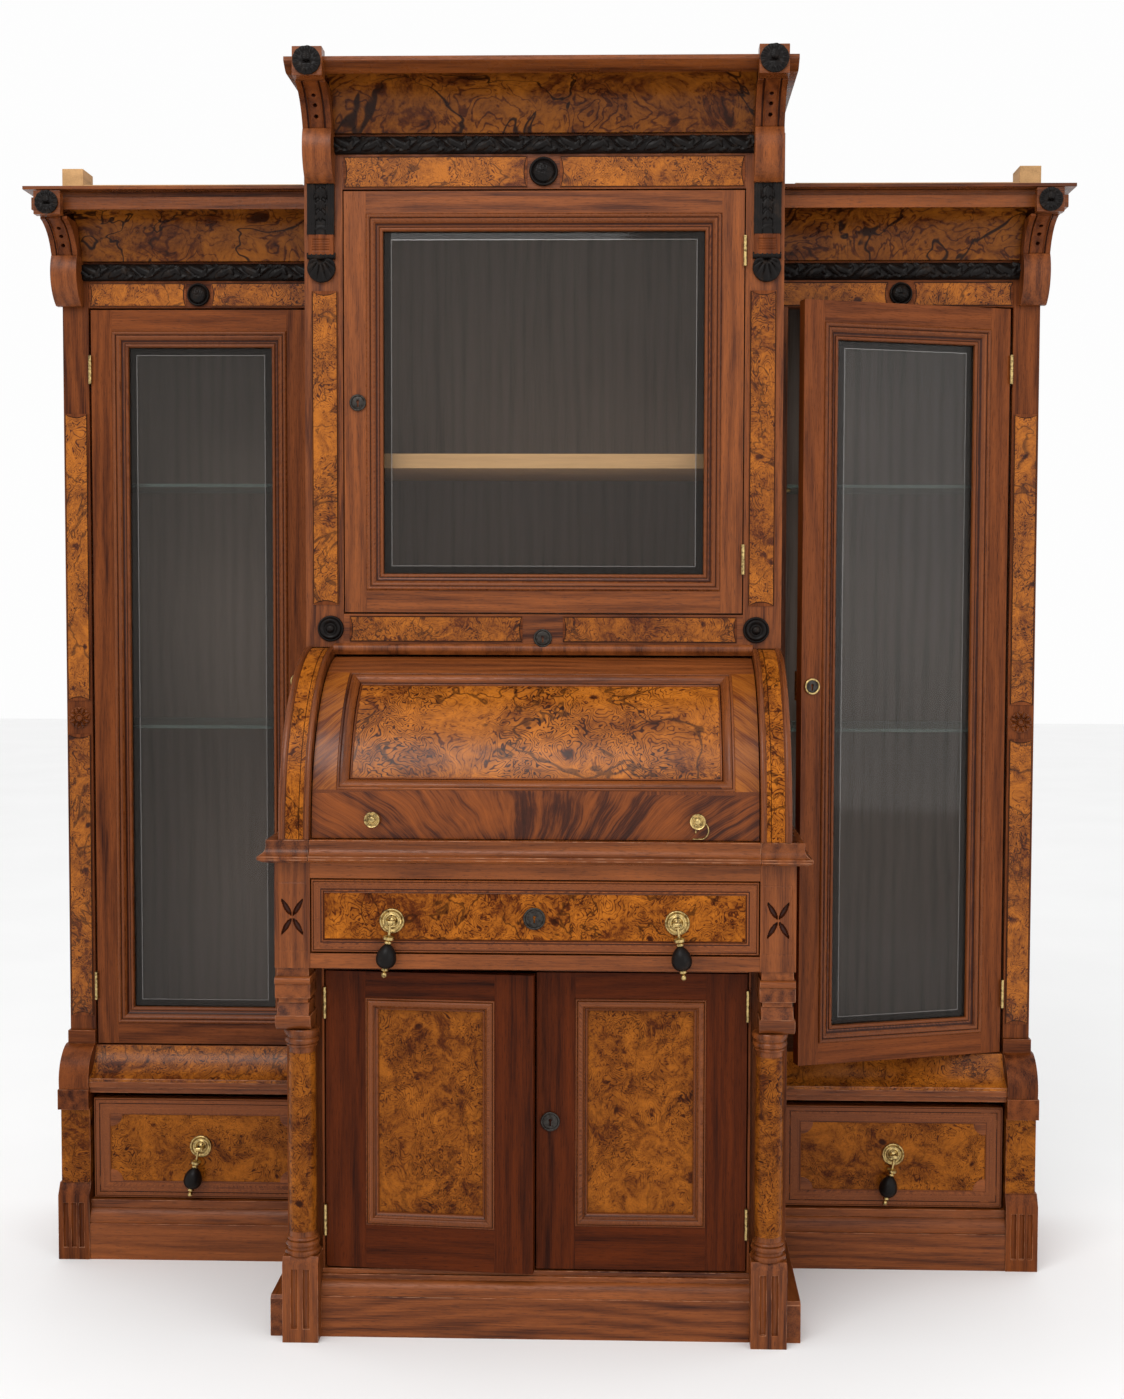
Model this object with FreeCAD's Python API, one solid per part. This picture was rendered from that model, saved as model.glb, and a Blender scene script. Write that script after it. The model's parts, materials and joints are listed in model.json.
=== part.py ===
"""Cylinder-front secretary desk with a glazed bookcase above and two glazed wings.

Millimetres.  X runs to the right, Y to the back and Z up.  The origin lies on the
floor, at the centre of the whole piece's footprint.
"""
import FreeCAD
import Part

import math
import os

V = FreeCAD.Vector

# ---------------------------------------------------------------- driving sizes
case_width = 800.0          # desk and upper bookcase, over their sides
wing_width = 457.0          # each flanking bookcase, over its sides
desk_depth = 664.0          # front of the desk's feet to the back of the case
upper_setback = 247.0       # desk foot front to the face of the upper bookcase
wing_setback = 402.0        # desk foot front to the face of the wings
door_setback = 46.0         # desk foot front to the face of the lower doors

board = 20.0                # carcass boards
back_board = 12.0
front_frame = 22.0          # thickness of face frames, doors and drawer fronts
door_gap = 2.0              # around doors and drawer fronts
slide_gap = 0.6             # under and over sliding pieces
pin_clearance = 0.05        # radial, pivots and drop pins

# desk, from the floor up
plinth_height = 66.0
torus_height = 23.0
fillet_height = 16.0
foot_width = 57.0
foot_height = 137.0
column_radius = 22.0
ring_radius = 28.5
column_height = 363.0
capital_height = 100.0
block_width = 56.0
lower_head = 11.0           # hidden rail over the lower doors
drawer_rail_height = 24.0
drawer_opening = 118.0
frieze_height = 25.0
ledge_height = 36.0
ledge_reach = 20.0          # nosing in front of the feet
ledge_side_reach = 32.0     # nosing outside the case
plinth_return_width = 23.0
plinth_return_length = 324.0

# cylinder front
cylinder_radius = 271.0
cylinder_thickness = 20.0
panel_recess = 12.0
panel_thickness = 8.0
cylinder_lift = 9.0         # pivot height above the writing level
cylinder_nose = 8.0         # cylinder front behind the foot front
cheek_width = 48.0
cheek_band = 14.0           # cheeks stand this far outside the cylinder
cheek_rear = 21.0           # and run this far behind its pivot
arm_thickness = 12.0
pivot_radius = 4.0
knob_radius = 12.8

# writing slide and pigeonholes
slide_thickness = 18.0
slide_depth = 420.0
gallery_depth = 240.0
gallery_height = 172.0
gallery_board = 9.0

# upper bookcase
rail_moulding_height = 18.0
rail_height = 50.0
upper_door_height = 701.0
upper_frieze_height = 52.0
carved_band_height = 36.0
cove_height = 76.0
cove_reach = 78.0
cove_root = 9.0             # foot of a cove in front of its face
crown_height = 21.0
crown_reach = 24.0
crown_side_reach = 13.0

# wings
wing_pilaster_width = 46.0
wing_foot_height = 116.0
wing_plinth_height = 65.0
wing_drawer_height = 180.0
wing_door_bottom = 378.0
wing_door_height = 1307.0
wing_frieze_height = 42.0
wing_foot_reach = 52.0      # base stands this far in front of the wing face
wing_side_reach = 38.0      # cornice outside the wing

# doors
stile_width = 37.0
bead_width = 28.0
glass_thickness = 5.0
ajar_left = 4.5             # degrees: the lower left door stands ajar at rest
ajar_wing = 17.0            # degrees: the right wing door stands open at rest

# brass pulls
plate_radius = 20.0
drop_out = 20.0             # drop pivot in front of its plate's back
drop_radius = 16.0
drop_inset = 1.5            # plates sit on the burl field, behind the border
drop_pin_radius = 1.5

# ------------------------------------------------------------- derived places
half = case_width / 2
foot_y = (drop_out - drop_inset + drop_radius - desk_depth) / 2
back_y = foot_y + desk_depth
inner_back = back_y - back_board
door_y = foot_y + door_setback
upper_y = foot_y + upper_setback
wing_y = foot_y + wing_setback
wing_base_y = wing_y - wing_foot_reach

base_top = plinth_height + torus_height + fillet_height
column_top = foot_height + column_height
rail_z = column_top + capital_height
drawer_z = rail_z + drawer_rail_height
frieze_z = drawer_z + drawer_opening
ledge_z = frieze_z + frieze_height
writing_z = ledge_z + ledge_height

pivot_y = foot_y + cylinder_nose + cylinder_radius
pivot_z = writing_z + cylinder_lift
cheek_radius = cylinder_radius + cheek_band
cheek_inner = half - cheek_width
cheek_back = pivot_y + cheek_rear
ledge_tail = cheek_back     # the side nosing ends with the cheeks
block_inner = cheek_inner
block_outer = block_inner + block_width
foot_inner = half - foot_width - 1.0
column_x = foot_inner + foot_width / 2
column_y = foot_y + foot_width / 2
stile_inner = foot_inner - 4.0

housing_top = pivot_z + cheek_radius
moulding_z = pivot_z + cylinder_radius + door_gap
upper_rail_z = moulding_z + rail_moulding_height
upper_door_z = upper_rail_z + rail_height + 3.0
upper_opening = half - 64.0
upper_frieze_z = upper_door_z + upper_door_height + 5.0
band_z = upper_frieze_z + upper_frieze_height
cove_z = band_z + carved_band_height
crown_z = cove_z + cove_height
case_height = crown_z + crown_height

wing_inner = half
wing_outer = wing_inner + wing_width
wing_opening_in = wing_inner + board + 1.0
wing_opening_out = wing_outer - wing_pilaster_width - 2.0
wing_drawer_z = wing_foot_height - 9.0
wing_frieze_z = wing_door_bottom + wing_door_height + 5.0
wing_band_z = wing_frieze_z + wing_frieze_height
wing_cove_z = wing_band_z + carved_band_height
wing_crown_z = wing_cove_z + cove_height
wing_height = wing_crown_z + 37.0


# ------------------------------------------------------------------- helpers
def box(x0, x1, y0, y1, z0, z1):
    """Board between three pairs of planes."""
    return Part.makeBox(x1 - x0, y1 - y0, z1 - z0, V(x0, y0, z0))


def mirrored(shape):
    """The same piece on the other side of the centre plane."""
    return shape.mirror(V(0, 0, 0), V(1, 0, 0))


def both(shapes):
    """Each piece with its mirror image."""
    return shapes + [mirrored(shape) for shape in shapes]


def outline(points, place):
    """Closed face through 2-D points; a point with four numbers ends an arc.

    The first two numbers of such a point lie half way along the arc.
    """
    edges = []
    last = points[0][-2:]
    for point in points[1:] + [points[0][-2:]]:
        end = point[-2:]
        if len(point) == 4:
            edges.append(Part.Arc(place(*last), place(*point[:2]), place(*end)).toShape())
        elif math.dist(last, end) > 1e-6:
            edges.append(Part.LineSegment(place(*last), place(*end)).toShape())
        last = end
    return Part.Face(Part.Wire(edges))


def along_x(points, x0, x1):
    """Prism along X over an outline of (y, z) points."""
    return outline(points, lambda y, z: V(x0, y, z)).extrude(V(x1 - x0, 0, 0))


def along_y(points, y0, y1):
    """Prism along Y over an outline of (x, z) points."""
    return outline(points, lambda x, z: V(x, y0, z)).extrude(V(0, y1 - y0, 0))


def turned(points, x, y):
    """Solid of revolution about a vertical axis over (radius, z) points."""
    face = outline(points, lambda r, z: V(x + r, y, z))
    return face.revolve(V(x, y, 0), V(0, 0, 1), 360)


def turned_y(points, x, z):
    """Solid of revolution about an axis along Y over (radius, y) points."""
    face = outline(points, lambda r, y: V(x + r, y, z))
    return face.revolve(V(x, 0, z), V(0, 1, 0), 360)


def rod_x(x0, x1, y, z, radius):
    """Round rod along X."""
    return Part.makeCylinder(radius, x1 - x0, V(x0, y, z), V(1, 0, 0))


def rod_y(x, y0, y1, z, radius):
    """Round rod along Y."""
    return Part.makeCylinder(radius, y1 - y0, V(x, y0, z), V(0, 1, 0))


def rod_z(x, y, z0, z1, radius):
    """Round rod along Z."""
    return Part.makeCylinder(radius, z1 - z0, V(x, y, z0), V(0, 0, 1))


def swung(shapes, x, y, degrees):
    """Pieces turned about a vertical hinge line."""
    for shape in shapes:
        shape.rotate(V(x, y, 0), V(0, 0, 1), degrees)
    return shapes


def save(node, shapes):
    """Write a node's pieces as one STEP file of separate solids."""
    solids = [solid for shape in shapes for solid in shape.Solids]
    shape = solids[0] if len(solids) == 1 else Part.makeCompound(solids)
    shape.exportStep("parts/%s.step" % node)
    print(node, len(solids), "valid" if shape.isValid() else "NOT VALID")


def polar(radius, degrees):
    """Point of a circle about the cylinder's pivot: 0 is forward, 90 is up."""
    turn = math.radians(degrees)
    return (pivot_y - radius * math.cos(turn), pivot_z + radius * math.sin(turn))


def stave(x0, x1, low, high, inner, outer):
    """Coopered stave: flat inside, round outside, between two angles."""
    middle = polar(outer, (low + high) / 2)
    end = polar(outer, high)
    points = [polar(inner, low), polar(outer, low), middle + end, polar(inner, high)]
    return along_x(points, x0, x1)


def staves(x0, x1, low, high, inner, outer, count):
    """Equal staves side by side over an angle."""
    step = (high - low) / count
    return [stave(x0, x1, low + i * step, low + (i + 1) * step, inner, outer)
            for i in range(count)]


# --------------------------------------------------------------- desk, fixed
def desk_carcass():
    """Boards of the desk below the writing level, with runners inside."""
    inner = half - board
    front = foot_y + foot_width + board
    sides = both([
        box(inner, half, front, inner_back, 0, ledge_z),
        box(inner, half, ledge_tail, inner_back, ledge_z, writing_z),
        box(stile_inner, foot_inner, door_y, front, base_top, rail_z),
        box(foot_inner, half, front - board + 0.5, front, 0, rail_z),
    ])
    shelf_z = base_top + (rail_z - base_top) / 2
    slide_bed = writing_z - slide_thickness - slide_gap
    boards = [
        box(-inner, inner, front, inner_back, base_top - board, base_top),
        box(-inner, inner, front, inner_back, rail_z, rail_z + gallery_board),
        box(-inner, inner, front + 60, inner_back, shelf_z, shelf_z + 16),
        box(-half, half, inner_back, back_y, 0, housing_top),
    ]
    runners = both([
        box(block_inner - 52, inner, front, inner_back, drawer_z - 12, drawer_z),
        box(block_inner + slide_gap, inner, front, inner_back, drawer_z, frieze_z - 12),
        box(block_inner - 52, inner, front, inner_back, frieze_z - 12, frieze_z),
        box(block_inner - 52, block_inner, front, inner_back, ledge_z, slide_bed),
        box(block_inner, inner, ledge_tail, inner_back, ledge_z, slide_bed),
    ])
    deck = [box(-inner, inner, slide_back() + 4, inner_back, slide_bed, gallery_z)]
    return sides + boards + runners + deck


def slide_back():
    """Back edge of the writing slide."""
    return foot_y + 10 + slide_depth


def desk_plinth():
    """Plinth board, its torus and fillets, and the returns outside the feet."""
    front = foot_y + 26
    rear = door_y + front_frame
    torus_z = plinth_height + torus_height
    round_point = (front + 4, plinth_height + torus_height * 0.62)
    torus = along_x([(front + 1, plinth_height), round_point + (door_y - 6, torus_z),
                     (rear, torus_z), (rear, plinth_height)], -foot_inner, foot_inner)
    steps = [box(-foot_inner, foot_inner, door_y - 6 + 4 * i, rear,
                 torus_z + fillet_height * i / 2, torus_z + fillet_height * (i + 1) / 2)
             for i in range(2)]
    returns = both([along_x([(front, 0), (front, plinth_height - 5), (front + 5, plinth_height),
                             (front + plinth_return_length, plinth_height),
                             (front + plinth_return_length, 0)],
                            half, half + plinth_return_width)])
    board_front = box(-foot_inner, foot_inner, front, rear, 0, plinth_height)
    return [board_front, torus] + steps + returns


def fluted_block(x0, x1, y0, y1, height, cap, flutes, flute_radius):
    """Square foot with a chamfered cap and upright flutes cut in its front."""
    block = along_x([(y0, 0), (y0, height - cap), (y0 + cap * 0.6, height),
                     (y1, height), (y1, 0)], x0, x1)
    pitch = (x1 - x0) / (flutes + 1)
    for i in range(flutes):
        groove = rod_z(x0 + pitch * (i + 1), y0, height * 0.16, height - cap * 1.6, flute_radius)
        block = block.cut(groove)
    return block


def desk_feet():
    """Two fluted foot blocks under the columns."""
    return both([fluted_block(foot_inner, foot_inner + foot_width, foot_y,
                              foot_y + foot_width, foot_height, 12, 2, 5)])


def ring(radius, z0, z1, reach):
    """Outline points of one turned ring between two heights."""
    return [(radius, z0), (radius + reach, (z0 + z1) / 2, radius, z1)]


def desk_columns():
    """Two turned columns with a pair of rings at each end."""
    z0 = foot_height
    z1 = column_top
    small = ring_radius - 5
    points = [(0, z0)]
    for start in (z0, z0 + 26):
        points += ring(small, start, start + 20, 5)
        points += [(small - 2, start + 20), (small - 2, start + 24)]
    points += [(column_radius, z0 + 54), (column_radius, z1 - 48)]
    for start in (z1 - 44, z1 - 22):
        points += [(small - 2, start - 2)]
        points += ring(small, start, start + 18, 5)
    points += [(small, z1), (0, z1)]
    return both([turned(points, column_x, column_y)])


def desk_capitals():
    """Stacked square blocks between each column and the drawer level."""
    x0, x1 = block_inner, block_outer
    y0, y1 = foot_y, foot_y + foot_width
    z = column_top
    cushion = along_x([(y0, z + 24), (y0 + 1, z + 10, y0 + 12, z), (y1, z), (y1, z + 24)], x0, x1)
    faceted = along_x([(y0, z + 24), (y0 + 8, z + 44), (y1, z + 44), (y1, z + 24)], x0 + 3, x1 - 3)
    neck = box(x0 + 5, x1 - 5, y0 + 5, y1, z + 44, z + 52)
    block = box(x0, x1, y0, y1, z + 52, z + 74)
    torus = along_x([(y0, z + 74), (y0 - 5, z + 80, y0, z + 86), (y1, z + 86), (y1, z + 74)], x0, x1)
    cap = box(x0 + 3, x1 - 3, y0 + 3, y1, z + 86, rail_z)
    return both([cushion, faceted, neck, block, torus, cap])


def desk_corner_blocks():
    """Blocks at each end of the drawer, with an incised crossed flower."""
    y0 = foot_y
    block = box(block_inner, block_outer, y0, foot_y + foot_width + board, rail_z, ledge_z)
    centre_x = (block_inner + block_outer) / 2
    centre_z = drawer_z + drawer_opening / 2
    for slant in (-1, 1):
        groove = Part.makeBox(64, 6, 7, V(-32, -3, -3.5))
        groove.rotate(V(0, 0, 0), V(0, 1, 0), slant * 58)
        groove.translate(V(centre_x, y0 - 1, centre_z))
        block = block.cut(groove)
    return both([block])


def desk_rails():
    """Rail under the desk drawer, the head rail behind it and the frieze rail above."""
    lower = box(-block_inner, block_inner, foot_y, foot_y + foot_width + board,
                rail_z, drawer_z - slide_gap)
    head = box(-stile_inner, stile_inner, door_y, door_y + front_frame + 4,
               rail_z - lower_head, rail_z)
    frieze = box(-block_inner, block_inner, foot_y, foot_y + foot_width, frieze_z, ledge_z)
    return [lower, head, frieze]


def nosing(front, rear, low):
    """Outline of the moulded edge at the writing level, towards -Y."""
    return [(front + 14, low), (front + 4, low + 2), (front, low + 6), (front, low + 11),
            (front + 9, low + 17, front + 12, writing_z - 5), (front + 12, writing_z),
            (rear, writing_z), (rear, low)]


def desk_ledge():
    """Fixed corners of the ledge, with their returns along the desk's sides."""
    outer = half + ledge_side_reach
    front = foot_y - ledge_reach
    corner = along_x(nosing(front, ledge_tail, ledge_z), block_inner, outer)
    side = along_y([(block_inner, ledge_z), (outer - 14, ledge_z), (outer, ledge_z + 6),
                    (outer, ledge_z + 11), (outer - 9, ledge_z + 17, outer - 12, writing_z - 5),
                    (outer - 12, writing_z), (block_inner, writing_z)], front, ledge_tail)
    return both([corner.common(side)])


# ------------------------------------------------------------ cylinder front
front_angle = -math.degrees(math.asin((cylinder_lift - 1.5) / cylinder_radius))
rail_angle = 14.5           # top of the cylinder's bottom rail
head_angle = 65.0           # bottom of its top rail
tail_angle = 88.0           # back edge, hidden behind the bookcase rail
frame_half = half - 87.0    # outside of the panel's moulding
moulding_width = 23.0


def cylinder_cheeks():
    """Quadrant cheeks at each end of the cylinder."""
    low = math.degrees(math.asin(cylinder_lift / cheek_radius))
    points = [(cheek_back, writing_z), polar(cheek_radius, -low),
              polar(cheek_radius, 45) + polar(cheek_radius, 90), (cheek_back, housing_top)]
    cheek = along_x(points, cheek_inner, half)
    cheek = cheek.cut(rod_x(cheek_inner, cheek_inner + 20, pivot_y, pivot_z, pivot_radius))
    rear = box(half - board, half, cheek_back, inner_back, writing_z, housing_top)
    return both([cheek, rear])


def cylinder_pivots():
    """Iron pivot pins set in the cheeks."""
    return both([rod_x(arm_inner() - 3, cheek_inner + 20, pivot_y, pivot_z, pivot_radius)])


def arm_inner():
    """Inner face of the cylinder's arms."""
    return cheek_inner - door_gap - arm_thickness


def cylinder_panel():
    """Coopered cylinder: bottom and top rails, stiles and a recessed panel."""
    outer = cylinder_radius
    inner = outer - cylinder_thickness
    end = cheek_inner - door_gap
    rails = staves(-end, end, front_angle, rail_angle, inner, outer, 2)
    rails += staves(-end, end, head_angle, tail_angle, inner, outer, 3)
    stiles = both(staves(frame_half, end, rail_angle, head_angle, inner, outer, 6))
    field = staves(-frame_half, frame_half, rail_angle, head_angle,
                   inner, inner + panel_thickness, 6)
    return rails + stiles + field


def cylinder_moulding():
    """Moulding that frames the recessed panel of the cylinder."""
    outer = cylinder_radius - 1
    inside = frame_half - moulding_width
    turn = math.degrees(moulding_width / cylinder_radius)
    step = (head_angle - rail_angle) / 6
    inner = (cylinder_radius - panel_recess) / math.cos(math.radians(step / 2))
    upright = staves(inside, frame_half, rail_angle, head_angle, inner, outer, 6)
    low = stave(-inside, inside, rail_angle, rail_angle + turn, inner, outer)
    high = stave(-inside, inside, head_angle - turn, head_angle, inner, outer)
    return both(upright) + [low, high]


def cylinder_arms():
    """Quadrant boards that carry the cylinder on its pivots."""
    x0 = arm_inner()
    span = math.radians((head_angle - rail_angle) / 12)
    radius = (cylinder_radius - cylinder_thickness) * math.cos(span)
    low = math.degrees(math.asin((cylinder_lift - 1.5) / radius))
    points = [(pivot_y, pivot_z), polar(radius, -low), polar(radius, 40) + polar(radius, tail_angle)]
    hub = rod_x(x0, x0 + arm_thickness, pivot_y, pivot_z, cylinder_lift - 1.5)
    arm = along_x(points, x0, x0 + arm_thickness).fuse(hub).removeSplitter()
    bore = rod_x(x0 - 1, x0 + arm_thickness + 1, pivot_y, pivot_z, pivot_radius + pin_clearance)
    return both([arm.cut(bore)])


knob_angle = 4.6
knob_x = 254.0
hook_wire = 1.1


def cylinder_knobs():
    """Turned brass knobs on the cylinder's bottom rail."""
    r = knob_radius
    knob = turned_y([(0, -18), (r * 0.35, -18), (r, -14, r, -8), (r * 0.45, -5),
                     (r * 0.4, 0), (0, 0)], 0, 0)
    knob.rotate(V(0, 0, 0), V(1, 0, 0), -knob_angle)
    y, z = polar(cylinder_radius, knob_angle)
    knob.translate(V(knob_x, y, z))
    return both([knob])


def round_wire(edges, radius):
    """Round wire along joined edges in the XZ plane, with ball joints between them."""
    shape = None
    for edge in edges:
        start = edge.Vertexes[0].Point
        along = edge.tangentAt(edge.FirstParameter)
        section = Part.Wire([Part.makeCircle(radius, edge.valueAt(edge.FirstParameter), along)])
        run = Part.Wire([edge]).makePipeShell([section], True, False)
        ball = Part.makeSphere(radius, start)
        shape = run.fuse(ball) if shape is None else shape.fuse(run).fuse(ball)
    return shape.removeSplitter()


def knob_hook():
    """Bent brass wire that hangs from the right knob's neck."""
    hoop = knob_radius * 0.45 + hook_wire + 0.6
    low = hook_wire + 0.6 - cylinder_lift - cylinder_radius * math.sin(math.radians(knob_angle))
    edges = [
        Part.LineSegment(V(-3, 0, -17), V(-3, 0, -hoop)).toShape(),
        Part.Arc(V(-3, 0, -hoop), V(0, 0, hoop), V(hoop, 0, 0)).toShape(),
        Part.Arc(V(hoop, 0, 0), V(17, 0, -13), V(8, 0, low + 2)).toShape(),
        Part.LineSegment(V(8, 0, low + 2), V(-8, 0, low + 2)).toShape(),
    ]
    shape = round_wire(edges, hook_wire)
    y, z = polar(cylinder_radius, knob_angle)
    shape.translate(V(knob_x, y - 3.4, z))
    return [shape]


# ------------------------------------------------- writing slide, pigeonholes
def writing_slide():
    """Pull-out writing board with the middle of the ledge as its front."""
    low = writing_z - slide_thickness
    edge = block_inner - slide_gap
    front = foot_y - ledge_reach
    rear = foot_y + 10
    lip = along_x(nosing(front, rear, ledge_z + slide_gap), -edge, edge)
    leaf = box(-edge, edge, rear, slide_back(), low, writing_z - 3)
    border = 40.0
    front_strip = box(-edge, edge, rear, rear + border, writing_z - 3, writing_z)
    ends = both([box(edge - border, edge, rear + border, slide_back() - border,
                     writing_z - 3, writing_z)])
    back_strip = box(-edge, edge, slide_back() - border, slide_back(), writing_z - 3, writing_z)
    return [lip, leaf, front_strip, back_strip] + ends


def writing_leather():
    """Leather skiver let into the writing board."""
    edge = block_inner - slide_gap - 40
    return [box(-edge, edge, foot_y + 50, slide_back() - 40, writing_z - 3, writing_z - 1)]


gallery_half = arm_inner() - 4
gallery_front = pivot_y - 80
gallery_back = gallery_front + gallery_depth
gallery_z = writing_z + slide_gap
gallery_drawer_height = 46.0


def pigeonhole_case():
    """Low case of pigeonholes behind the cylinder, fixed to the deck at its back."""
    t = gallery_board
    top = gallery_z + gallery_height
    tier = gallery_z + t + gallery_drawer_height + 2
    base = box(-gallery_half, gallery_half, gallery_front, inner_back - 70, gallery_z,
               gallery_z + t)
    lid = box(-gallery_half, gallery_half, gallery_front, gallery_back, top - t, top)
    back = box(-gallery_half, gallery_half, gallery_back - t, gallery_back, gallery_z + t, top - t)
    inner = gallery_back - t
    ends = both([box(gallery_half - t, gallery_half, gallery_front, inner,
                     gallery_z + t, top - t)])
    middle = gallery_half / 3
    uprights = both([box(middle, middle + t, gallery_front, inner, gallery_z + t, top - t)])
    shelves = both([box(middle + t, gallery_half - t, gallery_front, inner, tier, tier + t)])
    bay = (gallery_half - middle - 2 * t) / 3
    slips = both([box(middle + t + bay * i - 3, middle + t + bay * i + 3, gallery_front + 12,
                      inner, tier + t, top - t) for i in (1, 2)])
    return [base, lid, back] + ends + uprights + shelves + slips


def gallery_drawer(side):
    """Small drawer at one side of the pigeonholes, with its knob."""
    t = gallery_board
    x0 = gallery_half / 3 + t + 1
    x1 = gallery_half - t - 1
    z0 = gallery_z + t + slide_gap
    z1 = z0 + gallery_drawer_height
    y0 = gallery_front
    y1 = gallery_back - t - 6
    wall = 6.0
    front = box(x0, x1, y0, y0 + t, z0, z1)
    sides = [box(x, x + wall, y0 + t, y1 - wall, z0, z1 - 6) for x in (x0, x1 - wall)]
    tail = box(x0, x1, y1 - wall, y1, z0, z1 - 6)
    floor = box(x0 + wall, x1 - wall, y0 + t, y1 - wall, z0, z0 + 4)
    x = (x0 + x1) / 2
    z = (z0 + z1) / 2
    knob = turned_y([(0, y0 - 14), (5, y0 - 14), (8, y0 - 10, 4, y0 - 5), (3, y0), (0, y0)], x, z)
    pieces = sides + [front, tail, floor, knob]
    return pieces if side > 0 else [mirrored(piece) for piece in pieces]


# -------------------------------------------------------------- desk drawer
def framed_front(x0, x1, y, z0, z1, border):
    """Drawer front: a board, a mitred bevelled border and a burl field."""
    lip = 3.0
    blank = box(x0, x1, y + lip, y + front_frame, z0, z1)
    rail = [(y + lip, z0), (y, z0), (y, z0 + border * 0.45), (y + lip - 0.5, z0 + border),
            (y + lip, z0 + border)]
    low = along_x(rail, x0, x1)
    high = low.mirror(V(0, 0, (z0 + z1) / 2), V(0, 0, 1))
    ends = [box(x0, x0 + border, y + 0.5, y + lip, z0 + border, z1 - border),
            box(x1 - border, x1, y + 0.5, y + lip, z0 + border, z1 - border)]
    field = box(x0 + border, x1 - border, y + 1.5, y + lip, z0 + border, z1 - border)
    return [blank, low, high, field] + ends


def desk_drawer_front():
    """Front of the wide desk drawer."""
    edge = block_inner - door_gap
    return framed_front(-edge, edge, foot_y, drawer_z + door_gap,
                        frieze_z - door_gap, 21)


def drawer_box(x0, x1, y0, y1, z0, z1):
    """Drawer sides, back and bottom behind a front."""
    wall = 12.0
    sides = [box(x, x + wall, y0, y1 - wall, z0, z1) for x in (x0, x1 - wall)]
    tail = box(x0, x1, y1 - wall, y1, z0, z1)
    floor = box(x0 + wall, x1 - wall, y0, y1 - wall, z0 + 8, z0 + 16)
    return sides + [tail, floor]


def desk_drawer_box():
    """Box of the desk drawer."""
    edge = block_inner - door_gap
    return drawer_box(-edge, edge, foot_y + front_frame, inner_back - 20,
                      drawer_z + slide_gap, frieze_z - 18)


pull_x = 223.0
pull_z = drawer_z + 52
wing_pull_x = (wing_opening_in + wing_opening_out) / 2
wing_pull_z = wing_drawer_z + wing_drawer_height / 2 + 4
wing_drawer_y = wing_base_y + 20


def pull_plate(x, y, z):
    """Round back plate with two ears and the pin that the drop hangs on."""
    r = plate_radius
    plate = turned_y([(0, y - 5), (r * 0.3, y - 5), (r * 0.45, y - 3), (r * 0.8, y - 3),
                      (r, y - 1.5), (r, y), (0, y)], x, z)
    ears = [box(x + s * 5.5 - 1.5, x + s * 5.5 + 1.5, y - drop_out - 3, y - 4, z - 3, z + 3)
            for s in (-1, 1)]
    pin = rod_x(x - 7, x + 7, y - drop_out, z, drop_pin_radius)
    return [plate, pin] + [ear.cut(pin) for ear in ears]


def belly(radius, end_radius, z, end_z):
    """Arc that leaves a widest radius upright and ends at a smaller one."""
    inset = radius - end_radius
    rise = end_z - z
    bend = (inset * inset + rise * rise) / (2 * inset)
    turn = math.asin(rise / bend) / 2
    middle = (radius - bend * (1 - math.cos(turn)), z + bend * math.sin(turn))
    return middle + (end_radius, end_z)


def pull_drop(x, y, z, lean):
    """Eye, collars, teardrop and finial of a hanging pull."""
    yc = y - drop_out
    wide = z - 57.5
    low = wide - 14.5
    stem = turned([(0, z - 20), (2, z - 20), (2, z - 3.6), (0, z - 3.6)], x, yc)
    collar = turned([(0, z - 34), (4, z - 34), (6, z - 31, 4, z - 28), (9, z - 26),
                     (9, z - 22), (4, z - 20), (0, z - 20)], x, yc)
    upper = belly(drop_radius, 4, wide, z - 34)
    lower = belly(drop_radius, 5, wide, low)
    tear = turned([(0, low), (5, low), lower[:2] + (drop_radius, wide), upper,
                   (0, z - 34)], x, yc)
    finial = turned([(0, z - 88), (3, z - 86), (4.5, z - 82, 2, z - 78), (6, z - 75),
                     (5, low), (0, low)], x, yc)
    hanging = [stem, collar, tear, finial]
    for piece in hanging:
        piece.rotate(V(x, yc, z), V(0, 1, 0), lean)
    eye = rod_x(x - 3.5, x + 3.5, yc, z, 4).cut(hanging[0])
    eye = eye.cut(rod_x(x - 4, x + 4, yc, z, drop_pin_radius + pin_clearance))
    return [eye] + hanging


# --------------------------------------------------------------------- doors
def keyed_disc(x, y, z, radius):
    """Round escutcheon with a keyhole."""
    disc = turned_y([(0, y - 3), (radius * 0.7, y - 3), (radius, y - 1), (radius, y), (0, y)], x, z)
    hole = rod_y(x, y - 4, y + 1, z + 2, 2.6)
    slot = box(x - 1.4, x + 1.4, y - 4, y + 1, z - 7, z + 2)
    return disc.cut(hole).cut(slot)


def box_lock(x0, x1, y0, z0, z1):
    """Case of a surface lock on the back of a door or drawer."""
    return box(x0, x1, y0, y0 + 9, z0, z1)


def frame_members(x0, x1, y, z0, z1, width, depth):
    """Two stiles and two rails of one width."""
    return [box(x0, x0 + width, y, y + depth, z0, z1), box(x1 - width, x1, y, y + depth, z0, z1),
            box(x0 + width, x1 - width, y, y + depth, z0, z0 + width),
            box(x0 + width, x1 - width, y, y + depth, z1 - width, z1)]


def glazed_door(x0, x1, y, z0, z1):
    """Stiles, rails and glazing beads of a glazed door."""
    frame = frame_members(x0, x1, y, z0, z1, stile_width, front_frame)
    w = stile_width
    beads = frame_members(x0 + w, x1 - w, y + 3, z0 + w, z1 - w, bead_width, 8)
    return frame + beads


def door_glass(x0, x1, y, z0, z1):
    """Bevelled pane behind the beads."""
    w = stile_width
    return [box(x0 + w, x1 - w, y + 11, y + 11 + glass_thickness, z0 + w, z1 - w)]


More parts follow.
